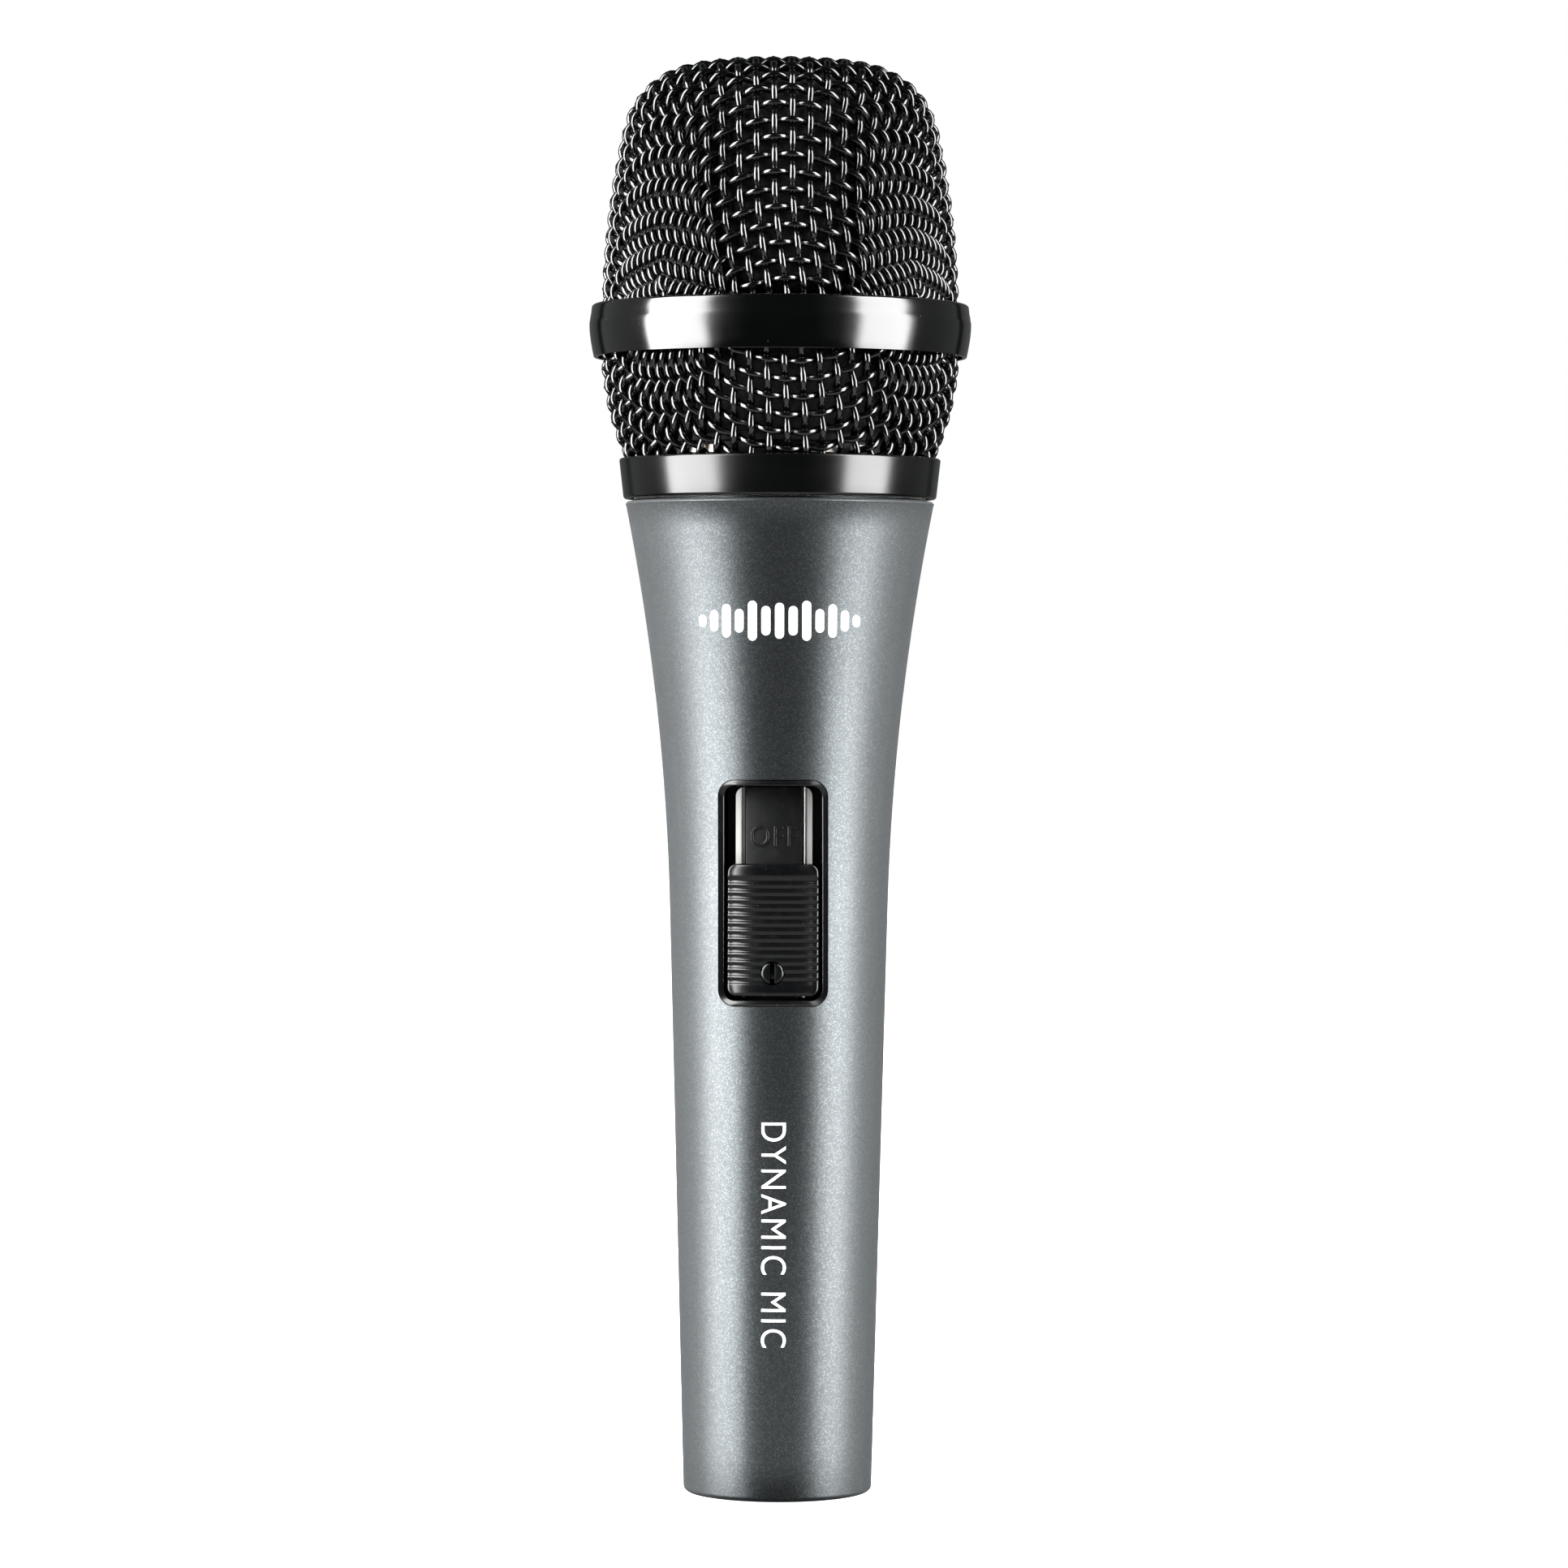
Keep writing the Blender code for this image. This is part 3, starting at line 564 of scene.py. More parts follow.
def wrap_on_handle(bm, place, proud):
    """Gives a flat mark in X and Z a thickness and bends it round the handle."""
    clear = 0.004
    drawn_out(bm, (0, -proud, 0))
    for vert in bm.verts:
        height = place[1] + vert.co.z
        radius = handle_radius(height)
        angle = math.radians(place[0]) + vert.co.x / radius
        radius += clear - vert.co.y
        vert.co = (radius * math.sin(angle), -radius * math.cos(angle), height)
    bmesh.ops.recalc_face_normals(bm, faces=bm.faces)


def slice_across(bm, spacing, reach):
    """Cuts a flat mark into narrow strips, so that it can follow a round surface."""
    steps = int(reach / spacing)
    for step in range(-steps, steps + 1):
        geom = bm.verts[:] + bm.edges[:] + bm.faces[:]
        bmesh.ops.bisect_plane(bm, geom=geom, plane_co=(step * spacing, 0, 0), plane_no=(1, 0, 0))


def lettering(words, height, width, weight=0.0, spacing=1.0, bevel=0.0):
    """Letters in X and Z, centred, with capitals of one height; a bevel gives them thickness."""
    curve = bpy.data.curves.new("words", "FONT")
    curve.body = words
    curve.offset = weight
    curve.space_character = spacing
    curve.resolution_u = 6
    curve.extrude = bevel * 0.5
    curve.bevel_depth = bevel
    holder = link(bpy.data.objects.new("words", curve))
    shown = holder.evaluated_get(bpy.context.evaluated_depsgraph_get())
    mesh = bpy.data.meshes.new_from_object(shown)
    bpy.data.objects.remove(holder)
    bm = bmesh.new()
    bm.from_mesh(mesh)
    bpy.data.meshes.remove(mesh)
    bmesh.ops.remove_doubles(bm, verts=bm.verts, dist=1e-5)
    low = [min(vert.co[axis] for vert in bm.verts) for axis in (0, 1)]
    high = [max(vert.co[axis] for vert in bm.verts) for axis in (0, 1)]
    scale_z = height / (high[1] - low[1])
    scale_x = width / (high[0] - low[0])
    for vert in bm.verts:
        x = (vert.co.x - (low[0] + high[0]) / 2) * scale_x
        z = (vert.co.y - (low[1] + high[1]) / 2) * scale_z
        vert.co = (x, -vert.co.z * scale_z, z)
    bmesh.ops.recalc_face_normals(bm, faces=bm.faces)
    return bm


def waveform_mark():
    """The mark above the switch: a row of round-ended bars, like a picture of a sound."""
    heights = (1.5, 2.6, 4.1, 2.9, 4.9, 3.6, 4.4, 3.6, 4.9, 2.9, 4.1, 2.6, 1.5)
    width, pitch = 1.12, 1.68
    bm = bmesh.new()
    for index, height in enumerate(heights):
        shift = (index - (len(heights) - 1) / 2) * pitch
        outline = rounded_rectangle(width, height, width / 2 - 0.01, 5)
        bm.faces.new([bm.verts.new((x + shift, 0.0, z)) for x, z in outline])
    return bm


def build_handle(colours):
    enamel = enamel_finish(colours)
    handle = turned("handle_body", handle_outline(), 256)
    window = shifted(rounded_rectangle(WINDOW_WIDTH, WINDOW_HEIGHT, WINDOW_CORNER), WINDOW_CENTRE)
    cut(handle, plate_shape(window, -20.0, -8.0))
    screw_hole = [(0.0, -15.0), (SET_SCREW_BORE, -15.0), (SET_SCREW_BORE, -6.0), (0.0, -6.0)]
    cut(handle, turned_shape(screw_hole, 32, towards_front(SET_SCREW_HEIGHT)))
    cut(handle, box_shape(*LATCH_RECESS))
    belong(handle, "handle", enamel, ("handle_shell",))


def build_marks(sizes, colours):
    ink = ink_finish(colours)
    proud = sizes.print_proud / MM
    mark = waveform_mark()
    slice_across(mark, 0.4, 11)
    wrap_on_handle(mark, MARK_PLACE, proud)
    belong(mesh_object("waveform_mark", mark), "handle", ink)
    words = lettering("DYNAMIC MIC", 3.1, 28.0, -0.004, 1.2)
    downwards = Matrix.Rotation(math.radians(90), 3, "Y")
    bmesh.ops.rotate(words, cent=(0, 0, 0), matrix=downwards, verts=words.verts)
    slice_across(words, 0.3, 3)
    wrap_on_handle(words, WORDS_PLACE, proud)
    belong(mesh_object("side_words", words), "handle", ink)


# ---- connector ---------------------------------------------------------------------------------


def build_connector(colours):
    moulded = moulded_finish(colours, "insert_plastic", 0.42)
    pin_finish = brushed_finish("pin_plate", (0.86, 0.74, 0.46), 0.2)
    insert_radius = SOCKET_RADIUS - 0.3
    outline = [(0.0, INSERT_FACE), (2.0, INSERT_FACE), (2.2, INSERT_FACE + 0.25), (2.6, INSERT_FACE + 0.25)]
    outline += [(2.8, INSERT_FACE), (insert_radius - 0.3, INSERT_FACE), (insert_radius, INSERT_FACE + 0.3)]
    outline += [(insert_radius, INSERT_BACK), (0.0, INSERT_BACK)]
    insert = turned("insert_body", outline, 96)
    tip, end = PIN_HEIGHTS
    for number in (1, 2, 3):
        low, high = node_low(f"xlr_pin_{number}"), node_high(f"xlr_pin_{number}")
        place = Matrix.Translation(((low[0] + high[0]) / 2, (low[1] + high[1]) / 2, 0))
        radius = (high[0] - low[0]) / 2
        hole = [(0.0, INSERT_FACE - 2), (radius + 0.2, INSERT_FACE - 2), (radius + 0.2, INSERT_BACK + 2)]
        cut(insert, turned_shape(hole + [(0.0, INSERT_BACK + 2)], 32, place))
        pin = [(0.0, tip)] + arc((radius - 0.75, tip + 0.75), 0.75, -90, 0, 5)
        pin += [(radius, end), (0.8, end), (0.8, end - 3), (0.0, end - 3)]
        obj = turned(f"pin_{number}_plated", pin, 32, place)
        belong(obj, "handle", pin_finish, (f"xlr_pin_{number}",))
    belong(insert, "handle", moulded, ("xlr_insert",))


def build_set_screw():
    face = -node_low("xlr_set_screw")[1]
    back = node_high("xlr_set_screw")[1]
    head = [(0.0, face), (1.25, face), (1.25, -back + 0.15), (1.1, -back), (0.0, -back)]
    screw = turned("set_screw_head", head, 32, towards_front(SET_SCREW_HEIGHT))
    slot_low = (-0.25, back - 0.6, SET_SCREW_HEIGHT - 2.5)
    slot_high = (0.25, back + 1, SET_SCREW_HEIGHT + 2.5)
    cut(screw, box_shape(slot_low, slot_high))
    finish = brushed_finish("set_screw_steel", (0.2, 0.2, 0.205), 0.35)
    belong(screw, "handle", finish, ("xlr_set_screw",))


# ---- switch ------------------------------------------------------------------------------------


def front_of_handle(x, z, proud=0.0):
    return -math.sqrt((handle_radius(z) + proud) ** 2 - x * x)


def build_bezel(colours):
    """A thin frame whose face stays level across its width and follows the handle lengthwise."""
    moulded = moulded_finish(colours, "bezel_plastic", 0.24, 1.42)
    width, height = WINDOW_WIDTH - 0.1, WINDOW_HEIGHT - 0.1
    wall, rounding, chamfer = 0.72, 0.16, 0.3
    back = -11.3
    profile = [(0.0, None), (0.04, 1.0), (chamfer, 0.0), (wall - rounding, 0.0)]
    for step in range(1, 5):
        angle = math.radians(90 * step / 4)
        profile.append((wall - rounding * (1 - math.sin(angle)), -rounding * (1 - math.cos(angle))))
    profile.append((wall, None))
    outer = sample_closed(rounded_rectangle(width, height, WINDOW_CORNER, 8), 240)
    bm = bmesh.new()
    loops = []
    for inset, sink in profile:
        ring = []
        for edge_x, edge_z in outer:
            x, z = drawn_in(edge_x, edge_z, inset, width, height)
            y = back
            if sink is not None:
                y = front_of_handle(edge_x, WINDOW_CENTRE + edge_z, -0.05)
                on_end = max(0.0, abs(edge_z) - height / 2 + WINDOW_CORNER) / WINDOW_CORNER
                y += 0.08 * on_end**2 if sink > 0 else -sink
            ring.append((x, y, WINDOW_CENTRE + z))
        loops.append(closed_loop(bm, ring))
    join_rings(bm, loops + loops[:1])
    bmesh.ops.recalc_face_normals(bm, faces=bm.faces)
    belong(mesh_object("bezel", bm, 24), "handle", moulded, ("switch_bezel",))


def drawn_in(x, z, inset, width, height):
    """A point of the window's outline, moved straight in from it."""
    corner_x = max(WINDOW_CORNER - width / 2, min(width / 2 - WINDOW_CORNER, x))
    corner_z = max(WINDOW_CORNER - height / 2, min(height / 2 - WINDOW_CORNER, z))
    share = 1 - inset / WINDOW_CORNER
    return corner_x + (x - corner_x) * share, corner_z + (z - corner_z) * share


def sample_closed(outline, count):
    """Evenly spaced points round a closed outline."""
    ends = outline[1:] + outline[:1]
    spans = [math.dist(a, b) for a, b in zip(outline, ends)]
    total = sum(spans)
    points = []
    index, passed = 0, 0.0
    for step in range(count):
        target = total * step / count
        while passed + spans[index] < target:
            passed += spans[index]
            index += 1
        share = (target - passed) / spans[index]
        a, b = outline[index], ends[index]
        points.append((a[0] + (b[0] - a[0]) * share, a[1] + (b[1] - a[1]) * share))
    return points


def build_rails(colours):
    """The two nickel rails and the dark strap that carries them."""
    nickel = brushed_finish("rail_nickel", colours.nickel, 0.42)
    low, high = node_low("switch_bracket"), node_high("switch_bracket")
    rails_low, rails_high = 62.8, 88.9
    back = high[1]
    section = [(-4.75, back), (-4.75, -10.42), (-4.05, -10.18), (-4.03, -9.98), (-3.93, -9.98)]
    section += [(-3.9, -10.22), (-3.6, -10.14), (-3.55, -9.3), (3.55, -9.3), (3.6, -10.16), (3.84, -10.25)]
    section += [(3.88, -9.8), (4.06, -9.8), (4.1, -10.26), (4.75, -10.3), (4.75, back)]
    rails = mesh_object("rails", bar_shape(section, rails_low, rails_high))
    rounded = rounded_rectangle(9.5, rails_high - rails_low, 1.1, 6)
    rounded = shifted(rounded, (rails_low + rails_high) / 2)
    cut(rails, plate_shape(rounded, -11.0, back + 1.0), "INTERSECT")
    strap_outline = [(-3.0, low[2]), (3.0, low[2]), (3.0, high[2]), (-3.0, high[2])]
    steel = brushed_finish("bracket_steel", (0.02, 0.02, 0.021), 0.4)
    strap = mesh_object("bracket_strap", plate_shape(strap_outline, -9.28, back))
    belong(strap, "handle", steel)
    belong(rails, "handle", nickel, ("switch_bracket",))


def build_strip(colours):
    """The black strip between the rails, with a word for each position of the switch."""
    strip_finish = moulded_finish(colours, "strip_plastic", 0.34)
    low, high = node_low("label_strip"), node_high("label_strip")
    face = low[1] + 0.12
    strip_outline = [(low[0], low[2]), (high[0], low[2]), (high[0], high[2]), (low[0], high[2])]
    strip = mesh_object("strip", plate_shape(strip_outline, face, high[1]))
    round_edges(strip, 0.06)
    belong(strip, "handle", strip_finish, ("label_strip",))
    for word, height, width in (("OFF", 82.8, 5.8), ("ON", 69.5, 4.1)):
        letters = lettering(word, 2.6, width, -0.02, 1.15, 0.028)
        bmesh.ops.translate(letters, vec=(0, face, height), verts=letters.verts)
        obj = mesh_object(f"raised_{word.lower()}", letters)
        belong(obj, "handle", strip_finish)


def slider_section(half, crown, sink):
    """One cross-section of the slider: a crowned face, rounded sides and a hollow underneath."""
    rounding = 0.35
    points = [(half, SLIDER_FOOT)]
    edge = -math.sqrt(crown**2 - (half - rounding) ** 2) + sink
    for step in range(5):
        angle = math.radians(90 * step / 5)
        x = half - rounding * (1 - math.cos(angle))
        points.append((x, edge + rounding * (1 - math.sin(angle))))
    steps = 18
    for step in range(steps + 1):
        x = (half - rounding) * (1 - 2 * step / steps)
        points.append((x, -math.sqrt(crown**2 - x * x) + sink))
    mirrored = [(-x, y) for x, y in reversed(points[:6])]
    wide, deep = SLIDER_HOLLOW
    hollow = [(-wide, SLIDER_FOOT), (-wide, deep), (wide, deep), (wide, SLIDER_FOOT)]
    return points + mirrored + hollow


def slider_stations(sizes):
    """Height, half width and sink of each cross-section, from the slider's foot to its head."""
    stations = []
    corner = 1.15
    pitch = sizes.rib_pitch / MM
    depth = sizes.rib_depth / MM
    middle = (SLIDER_LOW + SLIDER_HIGH) / 2 - 0.1
    first = middle - pitch * sizes.rib_count / 2
    steps = 6
    for step in range(steps):
        angle = math.radians(90 * step / steps)
        rise = corner * (1 - math.cos(angle))
        pull = corner * (1 - math.sin(angle))
        stations.append((SLIDER_LOW + rise, SLIDER_HALF - pull, 0.35 * (1 - math.sin(angle)) ** 2))
    per_rib = 8
    for step in range(sizes.rib_count * per_rib + 1):
        wave = 0.5 - 0.5 * math.cos(math.tau * step / per_rib)
        stations.append((first + pitch * step / per_rib, SLIDER_HALF, depth * wave**0.8))
    for height, half, sink in reversed(stations[:steps]):
        stations.append((SLIDER_LOW + SLIDER_HIGH - height, half, sink))
    return stations


def build_slider(sizes, colours):
    moulded = moulded_finish(colours, "slider_plastic", 0.16, 1.38)
    bm = bmesh.new()
    loops = []
    crown = -node_low("slider_cap")[1]
    for height, half, sink in slider_stations(sizes):
        loops.append(closed_loop(bm, [(x, y, height) for x, y in slider_section(half, crown, sink)]))
    join_rings(bm, loops)
    for end in (loops[0], loops[-1]):
        bmesh.ops.contextual_create(bm, geom=end)
    bmesh.ops.recalc_face_normals(bm, faces=bm.faces)
    slider = mesh_object("slider", bm, 45)
    hole = [(0.0, 10.0), (1.05, 10.0), (1.05, 12.15), (1.5, 12.15), (1.5, 15.0), (0.0, 15.0)]
    cut(slider, turned_shape(hole, 48, towards_front(LOCK_HEIGHT)), crease=45)
    belong(slider, "slider", moulded, ("slider_cap",))


def build_lock_screw():
    face, back = -node_low("lock_screw")[1], -node_high("lock_screw")[1]
    shape = [(0.0, back), (0.75, back), (0.75, 12.3), (1.38, 12.3), (1.38, face - 0.16)]
    shape += [(1.22, face - 0.05), (1.1, face - 0.02), (0.0, face - 0.02)]
    screw = turned("lock_screw_head", shape, 48, towards_front(LOCK_HEIGHT))
    cut(screw, box_shape((-0.3, -14.0, LOCK_HEIGHT - 2), (0.3, 1.05 - face, LOCK_HEIGHT + 2)))
    round_edges(screw, 0.05)
    steel = brushed_finish("screw_black_steel", (0.03, 0.031, 0.032), 0.28)
    belong(screw, "lock_screw", steel, ("lock_screw",))


# ---- grille ------------------------------------------------------------------------------------


class Surface:
    """A surface of revolution made of arcs, walked by distance from its apex."""

    def __init__(self, arcs, samples=900, spare=3.0):
        self.length = sum(abs(math.radians(end - start)) * radius for _, radius, start, end in arcs)
        self.walk = np.linspace(0.0, self.length + spare, samples)
        self.profile = np.array([self.point(arcs, distance) for distance in self.walk])

    def point(self, arcs, distance):
        """Radius, height and outward normal at a distance."""
        for centre, radius, start, end in arcs:
            span = abs(math.radians(end - start)) * radius
            if distance <= span or (centre, radius, start, end) == arcs[-1]:
                turn = math.copysign(distance / radius, end - start)
                angle = math.radians(start) + turn
                across, along = math.cos(angle), math.sin(angle)
                return centre[0] + radius * across, centre[1] + radius * along, across, along
            distance -= span

    def lay_flat(self, distance, angle):
        radius = np.interp(distance, self.walk, self.profile[:, 0])
        height = np.interp(distance, self.walk, self.profile[:, 1])
        return np.stack([radius * np.cos(angle), radius * np.sin(angle), height], -1)

    def settle(self, points):
        """The nearest places on the surface, and its normals there."""
        radius = np.hypot(points[..., 0], points[..., 1])
        height = points[..., 2]
        angle = np.arctan2(points[..., 1], points[..., 0])
        away = (radius[..., None] - self.profile[:, 0]) ** 2 + (height[..., None] - self.profile[:, 1]) ** 2
        index = np.argmin(away, -1)
        nearest = self.profile[index]
        across, along = nearest[..., 2], nearest[..., 3]
        slip = (radius - nearest[..., 0]) * along - (height - nearest[..., 1]) * across
        radius = nearest[..., 0] + slip * along
        height = nearest[..., 1] - slip * across
        placed = np.stack([radius * np.cos(angle), radius * np.sin(angle), height], -1)
        normals = np.stack([across * np.cos(angle), across * np.sin(angle), along], -1)
        return placed, normals, self.walk[index]


def dome_surface(inset):
    side_centre = (SIDE_ARC[0] - SIDE_ARC[2], SIDE_ARC[1])
    shoulder = SHOULDER_ARC[:2]
    crown_centre = (0.0, TOTAL_LENGTH - CROWN_RADIUS)
    meet = math.degrees(math.atan2(shoulder[1] - side_centre[1], shoulder[0] - side_centre[0]))
    crown = math.degrees(math.atan2(shoulder[1] - crown_centre[1], shoulder[0]))
    return Surface(
        [
            (crown_centre, CROWN_RADIUS - inset, 90.0, crown),
            (shoulder, SHOULDER_ARC[2] - inset, crown, meet),
            (side_centre, SIDE_ARC[2] - inset, meet, -2.5),
        ]
    )


def bowl_surface(inset):
    """The lower cloth as it was drawn: a cup whose floor has been cut away."""
    centre = (BOWL_ARC[0] - BOWL_ARC[2], BOWL_ARC[1])
    foot = -24.0
    fillet = 9.0
    reach = BOWL_ARC[2] - fillet
    turn = math.radians(foot)
    heel = (centre[0] + reach * math.cos(turn), centre[1] + reach * math.sin(turn))
    floor_radius = 200.0
    apex = heel[1] + math.sqrt((floor_radius - fillet) ** 2 - heel[0] ** 2)
    edge = math.degrees(math.atan2(heel[1] - apex, heel[0]))
    return Surface(
        [
            ((0.0, apex), floor_radius - inset, -90.0, edge),
            (heel, fillet - inset, edge, foot),
            (centre, BOWL_ARC[2] - inset, foot, 6.0),
        ]
    )


def first_net(surface, pitch, half):
    """A quarter of a net, each crossing one pitch from the two before it."""
    net = np.zeros((half, half, 3))
    height = surface.profile[0, 1]
    net[0, 0] = surface.settle(np.array([pitch / 2, pitch / 2, height]))[0]
    for index in range(1, half):
        before = net[index - 1, 0]
        place = before + (before - net[index - 2, 0] if index > 1 else np.array([pitch, 0.0, 0.0]))
        for _ in range(30):
            place[1] = pitch / 2
            place = before + (place - before) * (pitch / np.linalg.norm(place - before))
            place = surface.settle(place)[0]
        net[index, 0] = place
        net[0, index] = place[[1, 0, 2]]
    for total in range(2, 2 * half - 1):
        i = np.arange(max(1, total - half + 1), min(half, total))
        j = total - i
        first, second = net[i - 1, j], net[i, j - 1]
        place = first + second - net[i - 1, j - 1]
        for _ in range(30):
            for anchor in (first, second):
                away = place - anchor
                place = anchor + away * (pitch / np.linalg.norm(away, axis=-1, keepdims=True))
            place = surface.settle(place)[0]
        net[i, j] = place
    return net


def draw_cloth(surface, pitch, tightest, rounds=300):
    """Draws a flat square net over a surface: wires keep their pitch until the mesh locks.

    Returns the crossings, the normals there and which crossings the sheet has."""
    half = int(math.ceil((surface.length + 2) / pitch))
    quarter = first_net(surface, pitch, half)
    right = np.concatenate([quarter[:, ::-1] * (1, -1, 1), quarter], 1)
    points = np.concatenate([right[::-1] * (-1, 1, 1), right], 0)
    kept = surface.settle(points)[2] <= surface.length + 2.0
    low, high, whole = slice(0, -1), slice(1, None), slice(None)
    links = (
        ((low, whole), (high, whole), pitch, 1.0, False),
        ((whole, low), (whole, high), pitch, 1.0, False),
        ((low, low), (high, high), tightest, 2.0, True),
        ((high, low), (low, high), tightest, 2.0, True),
    )
    for _ in range(rounds):
        pull = np.zeros_like(points)
        weight = np.zeros(kept.shape)
        for first, second, rest, force, push_only in links:
            span = points[second] - points[first]
            size = np.linalg.norm(span, axis=-1) + 1e-9
            strain = size - rest
            active = kept[first] & kept[second]
            if push_only:
                active = active & (strain < 0)
            share = np.where(active, strain / size * 0.5 * force, 0.0)[..., None] * span
            pull[first] += share
            pull[second] -= share
            weight[first] += np.where(active, force, 0.0)
            weight[second] += np.where(active, force, 0.0)
        points = even_out(points + pull / np.maximum(weight, 1.0)[..., None])
        points, normals, _ = surface.settle(points)
    return points, normals, kept


def even_out(points):
    """Keeps a sheet the same in its four quarters and across its diagonals."""
    points = (points + points[::-1] * (-1, 1, 1)) / 2
    points = (points + points[:, ::-1] * (1, -1, 1)) / 2
    return (points + points.transpose(1, 0, 2)[..., [1, 0, 2]]) / 2


def wire_path(points, normals, lift, first_over, samples=5):
    """A wire's middle line through its crossings, over one and under the next."""
    path = []
    count = len(points)
    for index in range(count - 1):
        a = points[max(index - 1, 0)]
        b = points[index]
        c = points[index + 1]
        d = points[min(index + 2, count - 1)]
        side = 1.0 if (index % 2 == 0) == first_over else -1.0
        for step in range(samples):
            t = step / samples
            bend = (2 * a - 5 * b + 4 * c - d) * t**2 + (3 * b - a - 3 * c + d) * t**3
            curve = 0.5 * (2 * b + (c - a) * t + bend)
            normal = normals[index] * (1 - t) + normals[index + 1] * t
            normal = normal / np.linalg.norm(normal)
            swing = 1.05 * math.cos(math.pi * t) - 0.05 * math.cos(3 * math.pi * t)
            path.append(curve + normal * (lift * side * swing))
    return path


def cloth_runs(points, normals, kept, along_first, low, high, lift):
    """The wires of one direction, each cut to the stretches between two heights."""
    rows = points if along_first else points.transpose(1, 0, 2)
    row_normals = normals if along_first else normals.transpose(1, 0, 2)
    row_kept = kept if along_first else kept.T
    for row in range(rows.shape[0]):
        present = np.flatnonzero(row_kept[row])
        if len(present) < 4:
            continue
        over = ((row + present[0]) % 2 == 0) == along_first
        path = wire_path(rows[row][present], row_normals[row][present], lift, over)
        run = []
        for point in path:
            if low <= point[2] <= high:
                run.append(point)
            elif run:
                yield run
                run = []
        if run:
            yield run


def slipped(slip, height):
    """How far round the axis a sheet has slipped at a height, in radians."""
    at_top, more, start, end, power = slip
    share = min(1.0, max(0.0, (start - height) / (start - end)))
    return math.radians(at_top + more * share**power)


def wires(name, runs, radius, turn, slip):
    """Round wires along runs of points, as one mesh."""
    curve = bpy.data.curves.new(name, "CURVE")
    curve.dimensions = "3D"
    curve.bevel_depth = radius * MM
    curve.bevel_resolution = 2
    curve.use_fill_caps = True
    for run in runs:
        if len(run) < 3:
            continue
        spline = curve.splines.new("POLY")
        spline.points.add(len(run) - 1)
        for point, place in zip(spline.points, run):
            spin = Matrix.Rotation(turn + slipped(slip, place[2]), 3, "Z")
            point.co = (*(spin @ Vector(place) * MM), 1.0)
    holder = link(bpy.data.objects.new(name, curve))
    mesh = bpy.data.meshes.new_from_object(holder.evaluated_get(bpy.context.evaluated_depsgraph_get()))
    bpy.data.objects.remove(holder)
    mesh.name = name
    mesh.shade_smooth()
    return link(bpy.data.objects.new(name, mesh))


def build_cloth(sizes, colours):
    finish = wire_finish(colours)
    radius = sizes.wire / MM / 2
    pitch = sizes.pitch / MM
    tightest = sizes.tightest / MM
    sheets = (
        ("upper", dome_surface(2 * radius), BAND_LOW + 3.0, TOTAL_LENGTH + 1, "upper_mesh", UPPER_SLIP),
        ("lower", bowl_surface(2 * radius), CLOTH_LOW, BAND_HIGH - 3.5, "lower_mesh", LOWER_SLIP),
    )
    for label, surface, low, high, node, slip in sheets:
        points, normals, kept = draw_cloth(surface, pitch, tightest)
        for direction, along_first in (("warp", True), ("weft", False)):
            runs = cloth_runs(points, normals, kept, along_first, low, high, radius * 0.98)
            obj = wires(f"{label}_{direction}", runs, radius, sizes.cloth_turn, slip)
            replaced = (node,) if along_first else ()
            belong(obj, "grille_head", finish, replaced)


def build_band(colours):
    """The wide ring: it bulges up to its widest line and steps in to a rounded top edge."""
    gloss = gloss_finish(colours, "gloss_black", 0.1, 0.006, 1.56)
    widest = BAND_LOW + (BAND_HIGH - BAND_LOW) * 0.59
    bulge = 0.55
    foot = BAND_LOW + 0.05
    outer = [(BAND_RADIUS - bulge - 0.05, BAND_LOW), (BAND_RADIUS - bulge, foot)]
    steps = 8
    for step in range(1, steps + 1):
        share = step / steps
        outer.append((BAND_RADIUS - bulge * (1 - share) ** 1.6, foot + (widest - foot) * share))
    outer += [(BAND_RADIUS - 0.01, widest + 0.45), (BAND_RADIUS - 0.05, widest + 0.6)]
    outer += [(BAND_RADIUS - 0.12, widest + 1.1), (BAND_RADIUS - 0.23, widest + 1.7)]
    outer += arc((BAND_RADIUS - 0.7, BAND_HIGH - 0.45), 0.42, 14, 85, 7)
    bore = BAND_RADIUS - 1.05
    inner = [(bore, BAND_HIGH), (bore, BAND_LOW)]
    band = turned("band", outer + inner, 256)
    belong(band, "grille_head", gloss, ("ring_band",))


def build_collar(colours):
    satin = gloss_finish(colours, "satin_black", 0.165, 0.01, 1.48)
    outline = [(17.3, COLLAR_LOW + 0.7), (18.7, COLLAR_LOW + 0.7), (18.7, COLLAR_LOW)]
    outline += arc((19.3, COLLAR_LOW + 0.4), 0.4, -90, -6, 5)
    outline += arc((19.9, COLLAR_HIGH - 0.3), 0.3, -6, 90, 6)
    outline += [(19.75, COLLAR_HIGH), (19.75, COLLAR_HIGH - 1.1), (17.3, COLLAR_HIGH - 1.1)]
    collar = turned("collar_ring", outline, 256, crease=35)
    belong(collar, "grille_head", satin, ("collar",))


